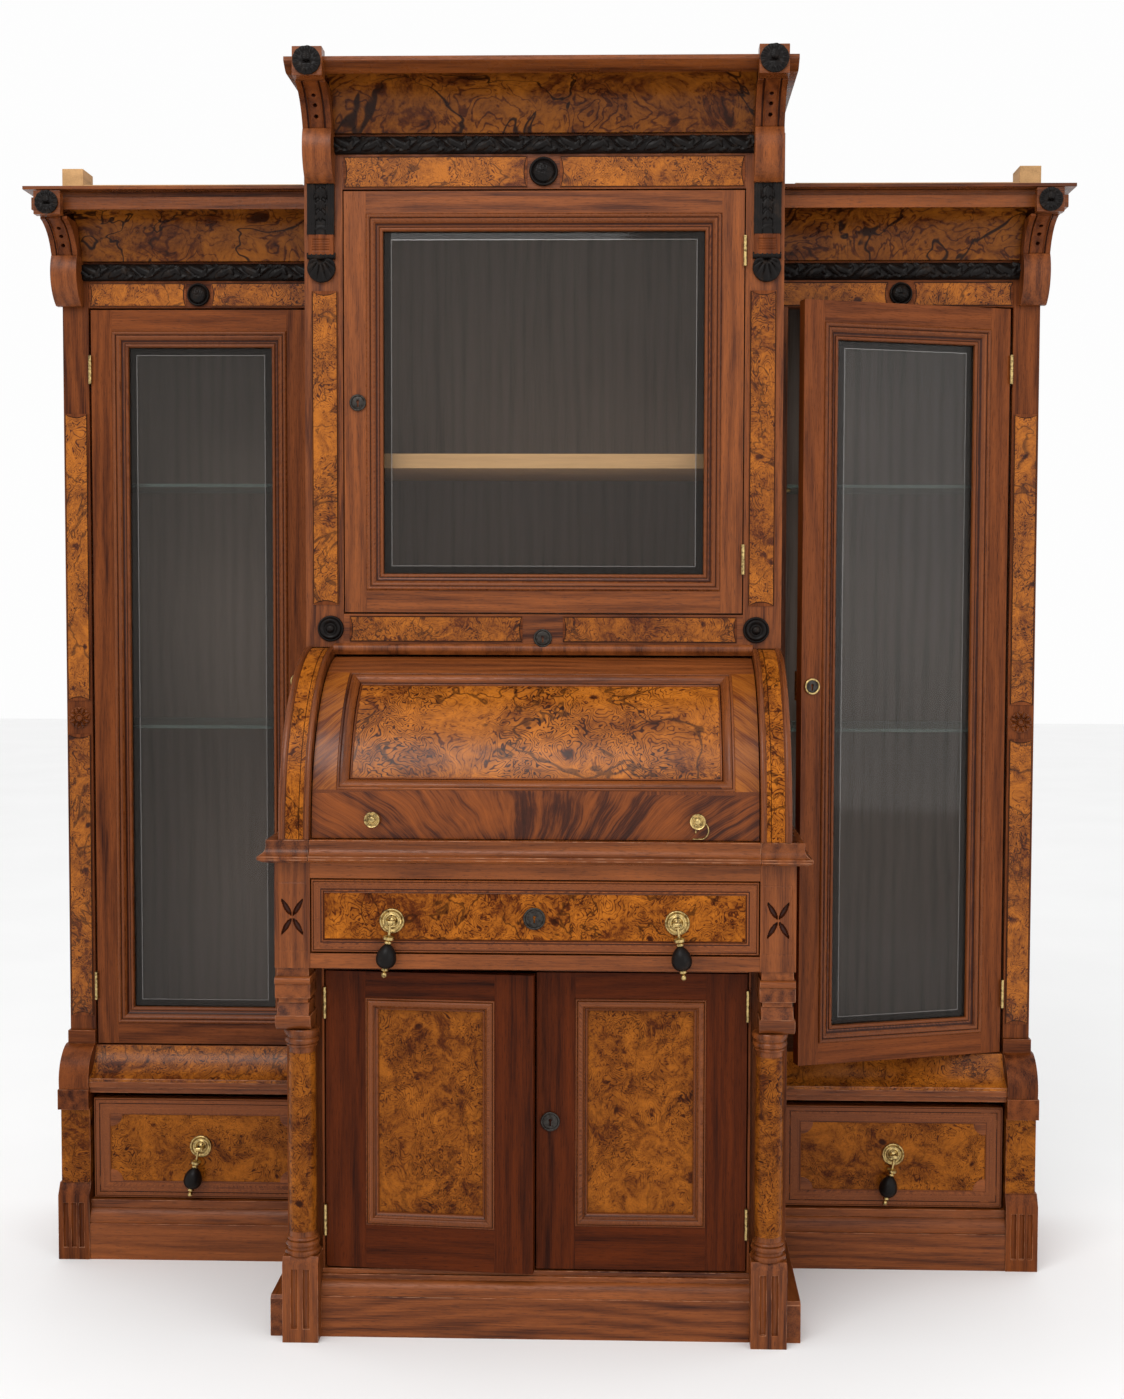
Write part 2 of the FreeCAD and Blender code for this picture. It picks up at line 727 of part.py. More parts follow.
hinge_out = 4.0             # hinge line in front of a door's face
hinge_barrel = 3.2
hinge_reach = 25.0          # half the length of a hinge
hinge_leaf = 0.8


def hinge_half(line, face, heights, edge, turn):
    """Barrel and leaf of each hinge: fixed upper halves (turn 1), moving lower ones (-1).

    The leaves lie on an edge at the given X, inside the gap beside the door.
    """
    x0, x1 = sorted((edge, edge - turn * hinge_leaf))
    pieces = []
    for z in heights:
        low, high = sorted((z + turn * 0.3, z + turn * hinge_reach))
        barrel = rod_z(line, face - hinge_out, low, high, hinge_barrel)
        web = box(x0, x1, face - hinge_out, face, low, high)
        plate = box(x0, x1, face, face + 18, z - hinge_reach, z + hinge_reach)
        pieces += [barrel, plate.fuse(web.cut(barrel))]
    return pieces


lower_hinge_x = foot_inner - 5.2
lower_hinges = (base_top + 80, rail_z - 64)
upper_hinge_x = upper_opening - 1.0
upper_hinges = (upper_door_z + 90, upper_door_z + upper_door_height - 100)
wing_hinge_x = wing_opening_out - 1.0
wing_hinges = (wing_door_bottom + 105, wing_door_bottom + wing_door_height - 105)


def hinge_leaves():
    """Fixed hinge halves of every door."""
    lower = both(hinge_half(lower_hinge_x, door_y, lower_hinges, stile_inner, 1))
    upper = hinge_half(upper_hinge_x, upper_y, upper_hinges, upper_opening, 1)
    stile = wing_outer - wing_pilaster_width
    wings = both(hinge_half(wing_hinge_x, wing_y, wing_hinges, stile, 1))
    return lower + upper + wings


def lower_door(side):
    """Panelled cupboard door: frame, moulding, burl panel and hinge halves."""
    x0 = 1.5
    x1 = stile_inner - door_gap
    z0 = base_top + 3
    z1 = rail_z - lower_head - door_gap
    frame = [box(x0, x0 + 62, door_y, door_y + front_frame, z0, z1),
             box(x1 - 65, x1, door_y, door_y + front_frame, z0, z1),
             box(x0 + 62, x1 - 65, door_y, door_y + front_frame, z0, z0 + 70),
             box(x0 + 62, x1 - 65, door_y, door_y + front_frame, z1 - 42, z1)]
    px0, px1, pz0, pz1 = x0 + 62, x1 - 65, z0 + 70, z1 - 42
    moulding = frame_members(px0, px1, door_y - 4, pz0, pz1, 20, 12)
    panel = box(px0, px1, door_y + 8, door_y + 16, pz0, pz1)
    hinges = hinge_half(lower_hinge_x, door_y, lower_hinges, x1, -1)
    pieces = frame + moulding + [panel] + hinges
    if side < 0:
        pieces = [mirrored(piece) for piece in pieces]
        return swung(pieces, -lower_hinge_x, door_y - hinge_out, -ajar_left)
    lock_z = (z0 + z1) / 2
    pieces.append(keyed_disc(x0 + 22, door_y, lock_z, escutcheon_radius))
    pieces.append(box_lock(x0, x0 + 48, door_y + front_frame, lock_z - 25, lock_z + 25))
    return pieces


def upper_door_box():
    """Corners of the upper door in X and Z."""
    edge = upper_opening - door_gap
    return -edge, edge, upper_y, upper_door_z, upper_door_z + upper_door_height


def upper_door():
    """Glazed door of the upper bookcase with its lock, hinged on the right."""
    x0, x1, y, z0, z1 = upper_door_box()
    pieces = glazed_door(x0, x1, y, z0, z1)
    lock_z = (z0 + z1) / 2
    pieces.append(keyed_disc(x0 + 23, y, lock_z, 13.5))
    pieces.append(box_lock(x0, x0 + 35, y + front_frame, lock_z - 25, lock_z + 25))
    return pieces + hinge_half(upper_hinge_x, y, upper_hinges, x1, -1)


def wing_door_box():
    """Corners of the right wing's door in X and Z."""
    return (wing_opening_in + door_gap, wing_opening_out - door_gap, wing_y,
            wing_door_bottom, wing_door_bottom + wing_door_height)


def turned_out(pieces, side):
    """Right pieces swing open to their rest; left ones are mirrored and shut."""
    if side < 0:
        return [mirrored(piece) for piece in pieces]
    return swung(pieces, wing_hinge_x, wing_y - hinge_out, ajar_wing)


def wing_door(side):
    """Tall glazed door of a wing with its lock, hinged on the outside."""
    x0, x1, y, z0, z1 = wing_door_box()
    pieces = glazed_door(x0, x1, y, z0, z1)
    lock_z = (z0 + z1) / 2
    pieces.append(keyed_disc(x0 + 19, y, lock_z, 13.5))
    pieces.append(box_lock(x0, x0 + 35, y + front_frame, lock_z - 25, lock_z + 25))
    pieces += hinge_half(wing_hinge_x, y, wing_hinges, x1, -1)
    return turned_out(pieces, side)


def wing_glass(side):
    """Pane of a wing door."""
    return turned_out(door_glass(*wing_door_box()), side)


# ----------------------------------------------------------- upper bookcase
def upper_carcass():
    """Sides, bottom, top and back of the upper bookcase."""
    front = upper_y + front_frame
    inner = half - board
    bottom = upper_rail_z + rail_height - 22
    return both([box(inner, half, front, inner_back, housing_top, crown_z)]) + [
        box(-inner, inner, front, inner_back, bottom, bottom + board),
        box(-inner, inner, front, inner_back, crown_z - board, crown_z),
        box(-half, half, inner_back, back_y, housing_top, crown_z),
    ]


upper_shelf_z = upper_door_z + 245
cylinder_lock_z = upper_rail_z + 10
escutcheon_radius = 15.0
shelf_pin_radius = 3.0


def upper_shelf():
    """Plain replacement shelf in the upper bookcase."""
    edge = half - board - 1
    return [box(-edge, edge, upper_y + 52, inner_back - 4, upper_shelf_z, upper_shelf_z + 25)]


def upper_face_frame():
    """Front stiles, bottom rail with its moulding, and frieze rail."""
    y0, y1 = upper_y, upper_y + front_frame
    stiles = both([box(upper_opening, half, y0, y1, housing_top, cove_z)])
    moulding = along_x([(y0 - 10, moulding_z + 4), (y0 - 12, moulding_z + 10, y0 - 4, upper_rail_z),
                        (y0, upper_rail_z), (y0, moulding_z), (y0 - 8, moulding_z)],
                       -cheek_inner, cheek_inner)
    moulding = moulding.cut(rod_y(0, y0 - 13, y0, cylinder_lock_z, escutcheon_radius))
    rail = box(-upper_opening, upper_opening, y0, y1, moulding_z, upper_rail_z + rail_height)
    frieze = box(-upper_opening, upper_opening, y0, y1, upper_frieze_z - 2, cove_z)
    return stiles + [moulding, rail, frieze]


def burl_strips():
    """Raised burl veneer panels on the pilasters, rails and friezes."""
    proud = 3.0
    y = upper_y - proud
    x0, x1 = upper_opening + 8, half - 12
    upper = both([
        box(x0, x1, y, upper_y, upper_door_z + 12, upper_frieze_z - 170),
        box(34, upper_opening - 10, y + 1, upper_y, upper_rail_z + 3,
            upper_rail_z + rail_height - 3),
        box(27, upper_opening - 2, y + 1, upper_y, upper_frieze_z, band_z),
    ])
    y = wing_y - proud
    x0, x1 = wing_outer - wing_pilaster_width + 3, wing_outer - 2
    middle = wing_rosette_z()
    wings = both([
        box(x0, x1, y, wing_y, wing_door_bottom + 50, middle - 30),
        box(x0, x1, y, wing_y, middle + 30, wing_door_bottom + 1125),
        box(wing_inner + 4, wing_pull_x - 22, y + 1, wing_y, wing_frieze_z, wing_band_z),
        box(wing_pull_x + 22, wing_opening_out, y + 1, wing_y, wing_frieze_z, wing_band_z),
    ])
    return upper + wings


def wing_rosette_z():
    """Height of the carved flower on a wing's pilaster."""
    return wing_door_bottom + 587


def cove(face, rear, low, high, reach):
    """Outline of a hollow cornice moulding that climbs forward from a face."""
    bend = (face - reach * 0.32, low + (high - low) * 0.68)
    return [(face, low), bend + (face - reach, high), (rear, high), (rear, low)]


def crown(front, rear, low, high, reach):
    """Outline of the crowning moulding above a cove."""
    return [(front, low), (front - reach * 0.3, low + 2), (front - reach, high - 7),
            (front - reach, high), (rear, high), (rear, low)]


def upper_cornice():
    """Cove, crown moulding and top board of the upper bookcase."""
    front = upper_y - cove_root - cove_reach
    hollow = along_x(cove(upper_y - cove_root, upper_y + front_frame, cove_z, crown_z,
                          cove_reach), -bracket_inner(), bracket_inner())
    edge = half + crown_side_reach
    rear = upper_y + front_frame
    cap = along_x(crown(front, rear, crown_z, case_height, crown_reach), -edge, edge)
    return [hollow, cap, box(-edge, edge, rear, inner_back, crown_z, case_height)]


scroll_height = 84.0
scroll_reach = 36.0
husk_flutes = 33.0           # fluted block under a husk panel
shell_radius = 22.0
upper_bracket_foot = upper_frieze_z + 6.0
upper_bracket_reach = cove_reach + 20.0
wing_bracket_inner = wing_outer - 38.0
wing_bracket_reach = cove_reach + 14.0


def bracket_inner():
    """Inner face of the upper bookcase's brackets."""
    return half - 52.0


def bracket(x0, x1, face, low, high, reach):
    """Concave cornice bracket over a rounded scroll block."""
    scroll = low + scroll_height
    head = high - 32
    curve = along_x([(face - scroll_reach + 2, scroll),
                     (face - 52, scroll + 30, face - reach, head - 4),
                     (face - reach, head), (face, head), (face, scroll)], x0, x1)
    block = along_x([(face, low), (face - 12, low),
                     (face - scroll_reach + 3, low + 20, face - scroll_reach, scroll),
                     (face, scroll)], x0, x1)
    return [curve, block]


def upper_brackets():
    """Brackets at the corners of the upper cornice, with their fluted blocks."""
    pieces = bracket(bracket_inner(), half - 4, upper_y, upper_bracket_foot, crown_z + 20,
                     upper_bracket_reach)
    top = upper_bracket_foot - scroll_height
    flutes = box(bracket_inner() + 2, half - 8, upper_y - 8, upper_y, top - husk_flutes, top)
    return both(pieces + [flutes])


def wing_brackets():
    """Brackets at the outer corners of the wing cornices."""
    return both(bracket(wing_bracket_inner, wing_outer + 8, wing_y, wing_frieze_z,
                        wing_crown_z + 18, wing_bracket_reach))


def carved_bands():
    """Ebonized leaf-carved half rounds under the coves."""
    def band(x0, x1, face, low):
        top = low + carved_band_height
        return along_x([(face, low), (face - 15, (low + top) / 2, face, top)], x0, x1)
    upper = band(-bracket_inner(), bracket_inner(), upper_y, band_z)
    wing = band(wing_inner, wing_bracket_inner, wing_y, wing_band_z)
    return [upper] + both([wing])


def bracket_carvings():
    """Ebonized masks of leafwork, husk panels and shells on the brackets."""
    def shell(x, face, top, radius):
        return along_y([(x - radius, top), (x, top - 2.0 * radius, x + radius, top)],
                       face - 10, face)
    low = upper_bracket_foot
    x = (bracket_inner() + half - 6) / 2
    tip = upper_y - upper_bracket_reach
    mask = box(bracket_inner(), half - 4, tip - 31, tip, crown_z - 14, case_height + 11)
    upper = [mask.cut(upper_cornice()[1]),
             box(bracket_inner() + 1, half - 6, upper_y - 12, upper_y, low - scroll_height,
                 low),
             shell(x, upper_y, low - scroll_height - husk_flutes - 1, shell_radius)]
    tip = wing_y - wing_bracket_reach
    wing = [box(wing_outer - 32, wing_outer + 14, tip - 18, tip, wing_crown_z - 14,
                wing_crown_z + 26)]
    return both(upper + wing)


def rosette(x, face, z, radius):
    """Turned boss with two rings."""
    r = radius
    return turned_y([(0, face - 13), (r * 0.25, face - 13), (r * 0.4, face - 9),
                     (r * 0.7, face - 10), (r * 0.8, face - 6), (r, face - 5), (r, face),
                     (0, face)], x, z)


def applied_rosettes():
    """Turned bosses on the rails and friezes, and flowers on the wing pilasters."""
    rail_z_mid = upper_rail_z + rail_height / 2
    pieces = both([
        rosette(half - 42, upper_y, rail_z_mid, 22),
        rosette(wing_pull_x, wing_y, wing_frieze_z + wing_frieze_height / 2, 20),
        rosette(wing_outer - wing_pilaster_width / 2, wing_y, wing_rosette_z(), 19),
    ])
    return pieces + [rosette(0, upper_y, upper_frieze_z + upper_frieze_height / 2, 24)]


def cylinder_lock():
    """Lock of the cylinder: escutcheon and case in the rail above it."""
    z = cylinder_lock_z
    return [keyed_disc(0, upper_y, z, escutcheon_radius),
            box_lock(-30, 30, upper_y + front_frame, z - 7, z + 16)]


# -------------------------------------------------------------------- wings
def wing_carcass(side):
    """Sides, floors, top and back of one wing, with its drawer runners."""
    x0, x1 = wing_inner, wing_outer
    front = wing_y + front_frame
    floor_z = wing_door_bottom - 3
    inner0, inner1 = x0 + board, x1 - board
    pieces = [
        box(x0, inner0, wing_y, inner_back, 0, wing_crown_z),
        box(x0, inner0, wing_base_y + 14, wing_y, wing_drawer_z - 2, floor_z - 76),
        box(inner1, x1, front, inner_back, 0, wing_crown_z),
        box(inner0, inner1, front, inner_back, floor_z - board, floor_z),
        box(inner0, inner1, front, inner_back, wing_drawer_z - 16, wing_drawer_z - 2),
        box(inner0, inner1, front, inner_back, wing_crown_z - board, wing_crown_z),
        box(x0, x1, inner_back, back_y, 0, wing_crown_z),
    ]
    return pieces if side > 0 else [mirrored(piece) for piece in pieces]


shelf_levels = (wing_door_bottom + 565, wing_door_bottom + 999)


def wing_shelves():
    """Four glass shelves."""
    return both([box(wing_inner + board + 1, wing_outer - board - 1, wing_y + 45, inner_back - 3,
                     z, z + 6) for z in shelf_levels])


def shelf_pins():
    """Brass pins under every shelf."""
    def pins(x0, x1, y0, z):
        return [rod_x(x, x + 12, y, z - shelf_pin_radius, shelf_pin_radius)
                for x in (x0, x1 - 12) for y in (y0, inner_back - 40)]
    upper = pins(board - half, half - board, upper_y + 80, upper_shelf_z)
    wings = [pin for z in shelf_levels
             for pin in pins(wing_inner + board, wing_outer - board, wing_y + 70, z)]
    return upper + both(wings)


def wing_pilasters():
    """Outer pilasters of the wings, with the rails behind the frieze and the base shelf."""
    y0, y1 = wing_y, wing_y + front_frame
    return both([
        box(wing_outer - wing_pilaster_width, wing_outer, y0, y1, wing_door_bottom + 24,
            wing_crown_z),
        box(wing_inner + board, wing_outer - wing_pilaster_width, y0, y1, wing_frieze_z - 2,
            wing_crown_z),
        box(wing_inner + board, wing_outer - wing_pilaster_width, y0, y1,
            wing_door_bottom - 79, wing_door_bottom - 3),
    ])


def wing_cornices():
    """Coves, crowns and side returns of the wings."""
    low, high = wing_cove_z, wing_crown_z
    hollow = along_x(cove(wing_y - cove_root, wing_y, low, high, cove_reach - cove_root),
                     wing_inner, wing_bracket_inner)
    out = wing_outer
    side = along_y([(out, low), (out + 9, low + 42, out + wing_side_reach - 12, high), (out, high)],
                   wing_y, inner_back)
    front = wing_y - cove_reach
    lower = box(wing_inner, out + wing_side_reach - 10, front, inner_back, high, high + 21)
    step = box(wing_inner, out + wing_side_reach - 16, front + 6, inner_back, high + 21, high + 31)
    cap = box(wing_inner, out + wing_side_reach, front - 16, inner_back, high + 31, wing_height)
    return both([hollow, side, lower, step, cap])


def wing_corner_posts():
    """Unfinished corner posts that stand up behind the wing cornices."""
    x1 = wing_outer - 2
    return both([box(x1 - 37, x1, wing_y, wing_y + 60, wing_height, wing_height + 50),
                 box(wing_inner + 30, x1 - 37, wing_y, wing_y + 22, wing_height,
                     wing_height + 22)])


def wing_bases():
    """Shelf moulding, fillets, torus and plinth around each wing drawer."""
    x0, x1 = wing_inner, wing_outer - wing_pilaster_width
    rear = wing_y
    front = wing_base_y
    top = wing_door_bottom - 3
    shelf = along_x([(rear, top), (rear - 12, top - 24, front + 5, top - 50),
                     (front + 5, top - 56), (rear, top - 56)], x0, x1)
    fillets = [box(x0, x1, front + 5 + 4 * i, rear, top - 56 - 10 * (i + 1), top - 56 - 10 * i)
               for i in range(2)]
    plinth = box(x0, x1, front + 2, rear, 0, wing_plinth_height)
    torus = along_x([(front + 4, wing_plinth_height),
                     (front + 5, wing_plinth_height + 16, front + 14, wing_plinth_height + 26),
                     (rear, wing_plinth_height + 26), (rear, wing_plinth_height)], x0, x1)
    lip = box(x0, x1, front + 12, rear, wing_plinth_height + 26, wing_drawer_z - 2)
    returns = box(wing_outer, wing_outer + 8, rear + front_frame, inner_back, 0,
                  wing_plinth_height)
    return both([shelf, plinth, torus, lip, returns] + fillets)


def wing_feet():
    """Fluted feet of the wings with the blocks and flared brackets above them."""
    x0, x1 = wing_outer - wing_pilaster_width, wing_outer
    front = wing_base_y
    rear = wing_y + front_frame
    foot = fluted_block(x0, x1 + 10, front, rear, wing_foot_height + 20, 21, 3, 4.5)
    die = box(x0, x1 + 6, front + 10, rear, wing_foot_height + 20, wing_door_bottom - 108)
    block = box(x0, x1 + 9, front, rear, wing_door_bottom - 108, wing_door_bottom - 72)
    z0, z1 = wing_door_bottom - 72, wing_door_bottom
    flare = along_x([(rear, z0), (front + 2, z0), (front + 4, z0 + 34, wing_y - 6, z1),
                     (rear, z1)], x0, x1 + 7)
    cap = box(x0, x1 + 3, wing_y - 6, rear, z1, z1 + 24)
    return both([foot, die, block, flare, cap])


def wing_drawer(side):
    """Drawer in a wing's base: framed front and box."""
    x0, x1 = wing_opening_in + door_gap, wing_opening_out - door_gap
    z0, z1 = wing_drawer_z, wing_drawer_z + wing_drawer_height
    y = wing_drawer_y
    pieces = framed_front(x0, x1, y, z0, z1, 30)
    pieces += drawer_box(x0, x1, y + front_frame, inner_back - 20, z0, z1 - 40)
    return pieces if side > 0 else [mirrored(piece) for piece in pieces]


def build():
    """Write every node."""
    os.makedirs("parts", exist_ok=True)
    fixed = [desk_carcass, desk_plinth, desk_feet, desk_columns, desk_capitals,
             desk_corner_blocks, desk_rails, desk_ledge, cylinder_cheeks, cylinder_pivots,
             pigeonhole_case, upper_carcass, upper_shelf, upper_face_frame, upper_cornice,
             upper_brackets, carved_bands, bracket_carvings, applied_rosettes, burl_strips,
             wing_shelves, shelf_pins, wing_pilasters, wing_cornices, wing_brackets,
             wing_corner_posts, wing_bases, wing_feet, hinge_leaves, cylinder_lock]
    moving = [cylinder_panel, cylinder_moulding, cylinder_arms, cylinder_knobs, knob_hook,
              writing_slide, writing_leather, desk_drawer_front, desk_drawer_box, upper_door]
    for make in fixed + moving:
        save(make.__name__, make())
    save("upper_door_glass", door_glass(*upper_door_box()))
    lock_z = pull_z + 5
    save("desk_drawer_plates", both(pull_plate(pull_x, foot_y + drop_inset, pull_z)) + [
        keyed_disc(0, foot_y + drop_inset, lock_z, 17),
        box_lock(-30, 30, foot_y + front_frame, lock_z - 15, lock_z + 35)])
    for name, side in (("left", -1), ("right", 1)):
        save("wing_carcass_" + name, wing_carcass(side))
        save("gallery_drawer_" + name, gallery_drawer(side))
        save("lower_door_" + name, lower_door(side))
        save("wing_door_" + name, wing_door(side))
        save("wing_glass_" + name, wing_glass(side))
        save("wing_drawer_" + name, wing_drawer(side))
        save("wing_plate_" + name, pull_plate(side * wing_pull_x, wing_drawer_y + drop_inset, wing_pull_z))
        save("desk_drop_" + name, pull_drop(side * pull_x, foot_y + drop_inset, pull_z, -side * 7))
        save("wing_drop_" + name, pull_drop(side * wing_pull_x, wing_drawer_y + drop_inset,
                                            wing_pull_z, 11))


build()
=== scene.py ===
"""Looks of a cylinder-roll secretary with a central bookcase and two flanking wings."""

import json
import math

import bmesh
import bpy
import numpy as np
from bpy.props import FloatProperty, FloatVectorProperty, IntProperty, PointerProperty
from bpy.types import Operator, Panel, PropertyGroup
from mathutils import Matrix, Vector

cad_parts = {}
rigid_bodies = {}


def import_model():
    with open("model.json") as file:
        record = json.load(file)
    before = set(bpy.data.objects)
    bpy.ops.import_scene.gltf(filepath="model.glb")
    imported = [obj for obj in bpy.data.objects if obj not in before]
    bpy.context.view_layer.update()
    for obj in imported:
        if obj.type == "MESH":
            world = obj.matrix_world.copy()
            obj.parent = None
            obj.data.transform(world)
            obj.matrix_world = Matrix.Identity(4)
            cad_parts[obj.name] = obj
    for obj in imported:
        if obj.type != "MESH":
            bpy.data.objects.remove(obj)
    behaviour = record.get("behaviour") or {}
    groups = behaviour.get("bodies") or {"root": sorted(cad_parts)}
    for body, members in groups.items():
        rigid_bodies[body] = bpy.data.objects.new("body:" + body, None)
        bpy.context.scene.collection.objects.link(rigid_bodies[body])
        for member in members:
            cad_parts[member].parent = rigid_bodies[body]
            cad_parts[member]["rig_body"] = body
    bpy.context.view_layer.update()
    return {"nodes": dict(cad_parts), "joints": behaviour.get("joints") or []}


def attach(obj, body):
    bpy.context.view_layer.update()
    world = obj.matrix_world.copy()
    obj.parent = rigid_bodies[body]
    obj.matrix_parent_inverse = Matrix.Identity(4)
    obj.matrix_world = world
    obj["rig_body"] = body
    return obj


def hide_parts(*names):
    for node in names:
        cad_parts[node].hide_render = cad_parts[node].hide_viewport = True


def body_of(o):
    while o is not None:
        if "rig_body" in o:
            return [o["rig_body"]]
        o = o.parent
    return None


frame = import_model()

bl_info = {
    "name": "Cylinder secretary finish",
    "version": (1, 0, 0),
    "blender": (4, 5, 0),
    "location": "View3D > Sidebar > Secretary",
    "description": "Mouldings, carving, veneers and finishes around the secretary's frame",
    "category": "Add Mesh",
}

JOINTS = {joint["name"]: joint for joint in frame["joints"]}
MM = 0.001
# Painted shade: darker tone at the bottoms of carved cuts and in the quirks of mouldings, where
# shade falls.
CUT_SHADE, QUIRK_SHADE = -9.0, -7.0


# ---------------------------------------------------------------- properties
def colour(name, description, default):
    """A colour in linear light."""
    return FloatVectorProperty(name=name, description=description, subtype="COLOR", size=3,
                               default=default)


def number(name, description, default, unit="LENGTH"):
    """A size or strength that isn't negative."""
    return FloatProperty(name=name, description=description, default=default, min=0.0, unit=unit)


class SecretaryFinish(PropertyGroup):
    """Colours of the woods and metals, in linear light."""

    walnut_dark: colour("Walnut, dark", "Late growth of the walnut", (0.046, 0.0085, 0.0018))
    walnut_light: colour("Walnut, light", "Early growth of the walnut", (0.268, 0.073, 0.0155))
    # Painted shade: darker walnut for the desk doors, standing in for the shade they lie in.
    low_dark: colour("Desk walnut, dark", "Late growth of the shaded desk doors",
                     (0.024, 0.0040, 0.0006))
    low_light: colour("Desk walnut, light", "Early growth of the shaded desk doors",
                      (0.100, 0.0175, 0.0022))
    burl_gold: colour("Burl, gold", "Light field of the burl veneer", (0.500, 0.150, 0.013))
    burl_brown: colour("Burl, brown", "Dark swirls of the burl veneer", (0.095, 0.020, 0.003))
    ebony: colour("Ebonized", "Blackened carving", (0.006, 0.0045, 0.004))
    brass: colour("Brass", "Aged brass of pulls and hinges", (0.58, 0.42, 0.17))
    raw_wood: colour("Raw wood", "Unfinished shelf and corner posts", (0.62, 0.36, 0.16))
    lining: colour("Lining wood", "Drawer sides and linings", (0.26, 0.13, 0.055))
    glass: colour("Glass", "Tint of the old panes", (0.060, 0.052, 0.044))


class SecretaryWork(PropertyGroup):
    """Sizes that the maker's tools leave."""

    ease: number("Eased edge", "Width of the rubbed edge of every board", 0.0008)
    carving: number("Carving depth", "Relief of the ebonized leafwork", 0.0045)
    glass_bevel: number("Glass bevel", "Width of the ground edge of a pane", 0.022)
    turning: IntProperty(name="Turning steps", description="Facets round a turned piece",
                         default=64, min=12, max=160)


class SecretaryStage(PropertyGroup):
    """Camera, lights and floor."""

    eye: FloatVectorProperty(
        name="Camera position", description="Where the camera stands", size=3,
        default=(0.154, -3.1604, 1.1869), unit="LENGTH", subtype="TRANSLATION")
    turn: FloatVectorProperty(
        name="Camera rotation", description="Tilt, roll and turn of the camera", size=3,
        default=(math.radians(87.03), math.radians(-0.18), math.radians(1.606)),
        unit="ROTATION", subtype="EULER")
    lens: number("Lens", "Focal length in millimetres for a 36 mm long side", 47.32, "NONE")
    shift: FloatVectorProperty(
        name="Shift", description="Sideways and upward shift of the picture", size=2,
        default=(-0.0149, -0.0069))
    sky: number("Room light", "Strength of the even white light all round", 0.985, "NONE")
    key: number("Key light", "Power of the large soft light", 62.0, "POWER")
    fill: number("Fill light", "Power of the soft light opposite", 16.0, "POWER")
    reach: number("Floor reach", "Half of the floor's width", 14.0)


# ----------------------------------------------------------------- materials
def node(tree, kind, inputs=None, **settings):
    """Adds a shader node, sets it, and links or sets its inputs by name or number."""
    made = tree.nodes.new("ShaderNode" + kind)
    for name, value in settings.items():
        setattr(made, name, value)
    for name, value in (inputs or {}).items():
        socket = made.inputs[name]
        if isinstance(value, bpy.types.NodeSocket):
            tree.links.new(value, socket)
        else:
            socket.default_value = value
    return made


def math_node(tree, operation, a, b=0.0):
    """One arithmetic step between two values."""
    return node(tree, "Math", {0: a, 1: b}, operation=operation).outputs[0]


def times(tree, a, b):
    """The product of two values."""
    return math_node(tree, "MULTIPLY", a, b)


def stretched(tree, place, scale):
    """The place vector multiplied along each of its axes."""
    return node(tree, "VectorMath", {0: place, 1: scale}, operation="MULTIPLY").outputs[0]


def noise(tree, place, scale, detail=3.0, rough=0.55, bend=0.0, colour=False):
    """Fractal noise, in 0 to 1, with the scale in cycles per metre."""
    made = node(tree, "TexNoise", {"Vector": place, "Scale": scale, "Detail": detail,
                                   "Roughness": rough, "Distortion": bend})
    return made.outputs["Color" if colour else 0]


def ramp(tree, value, stops):
    """Blends colours between (position, colour) stops."""
    made = node(tree, "ValToRGB", {0: value})
    elements = made.color_ramp.elements
    while len(elements) < len(stops):
        elements.new(0.5)
    for element, (position, colour) in zip(elements, stops):
        element.position = position
        element.color = (*colour, 1.0) if len(colour) == 3 else colour
    return made.outputs[0]


def summed(tree, start, *terms):
    """A number plus the sum of (value, weight) terms."""
    total = start
    for value, weight in terms:
        total = math_node(tree, "ADD", times(tree, value, weight), total)
    return total


def spread(tree, value, low, high):
    """Maps low..high to 0..1, clamped and smooth."""
    return node(tree, "MapRange", {0: value, 1: low, 2: high},
                interpolation_type="SMOOTHSTEP").outputs[0]


def blend(tree, factor, a, b):
    """Mixes two colours."""
    return node(tree, "Mix", {0: factor, 6: a, 7: b}, data_type="RGBA").outputs[2]


FINISHES = {}


def new_material(name, **fixed):
    """A material kept by its name, as its tree and shader; fixed names sockets by labels."""
    material = FINISHES[name] = bpy.data.materials.new(name)
    material.use_nodes = True
    tree = material.node_tree
    shader = tree.nodes["Principled BSDF"]
    for label, value in fixed.items():
        shader.inputs[label.replace("_", " ")].default_value = value
    return tree, shader


def surface(tree, shader, colour, roughness, height, distance, strength):
    """Links a colour, a roughness and a small relief from a height between 0 and 1."""
    relief = node(tree, "Bump", {"Height": height, "Distance": distance, "Strength": strength})
    for value, label in ((colour, "Base Color"), (roughness, "Roughness"),
                         (relief.outputs[0], "Normal")):
        tree.links.new(value, shader.inputs[label])


def veneer_place(tree):
    """The piece's own grain coordinates (along, across, deep) and its tone, which also holds
    painted shade in cuts and quirks.
    """
    place = node(tree, "Attribute", attribute_name="grain").outputs["Vector"]
    tone = node(tree, "Attribute", attribute_name="tone").outputs["Fac"]
    return place, tone


def mixed(first, second, share):
    """A colour between two others."""
    return tuple(a * (1 - share) + b * share for a, b in zip(first, second))


def scaled(colour, factor):
    """A colour made lighter or darker."""
    return tuple(min(1.0, channel * factor) for channel in colour)


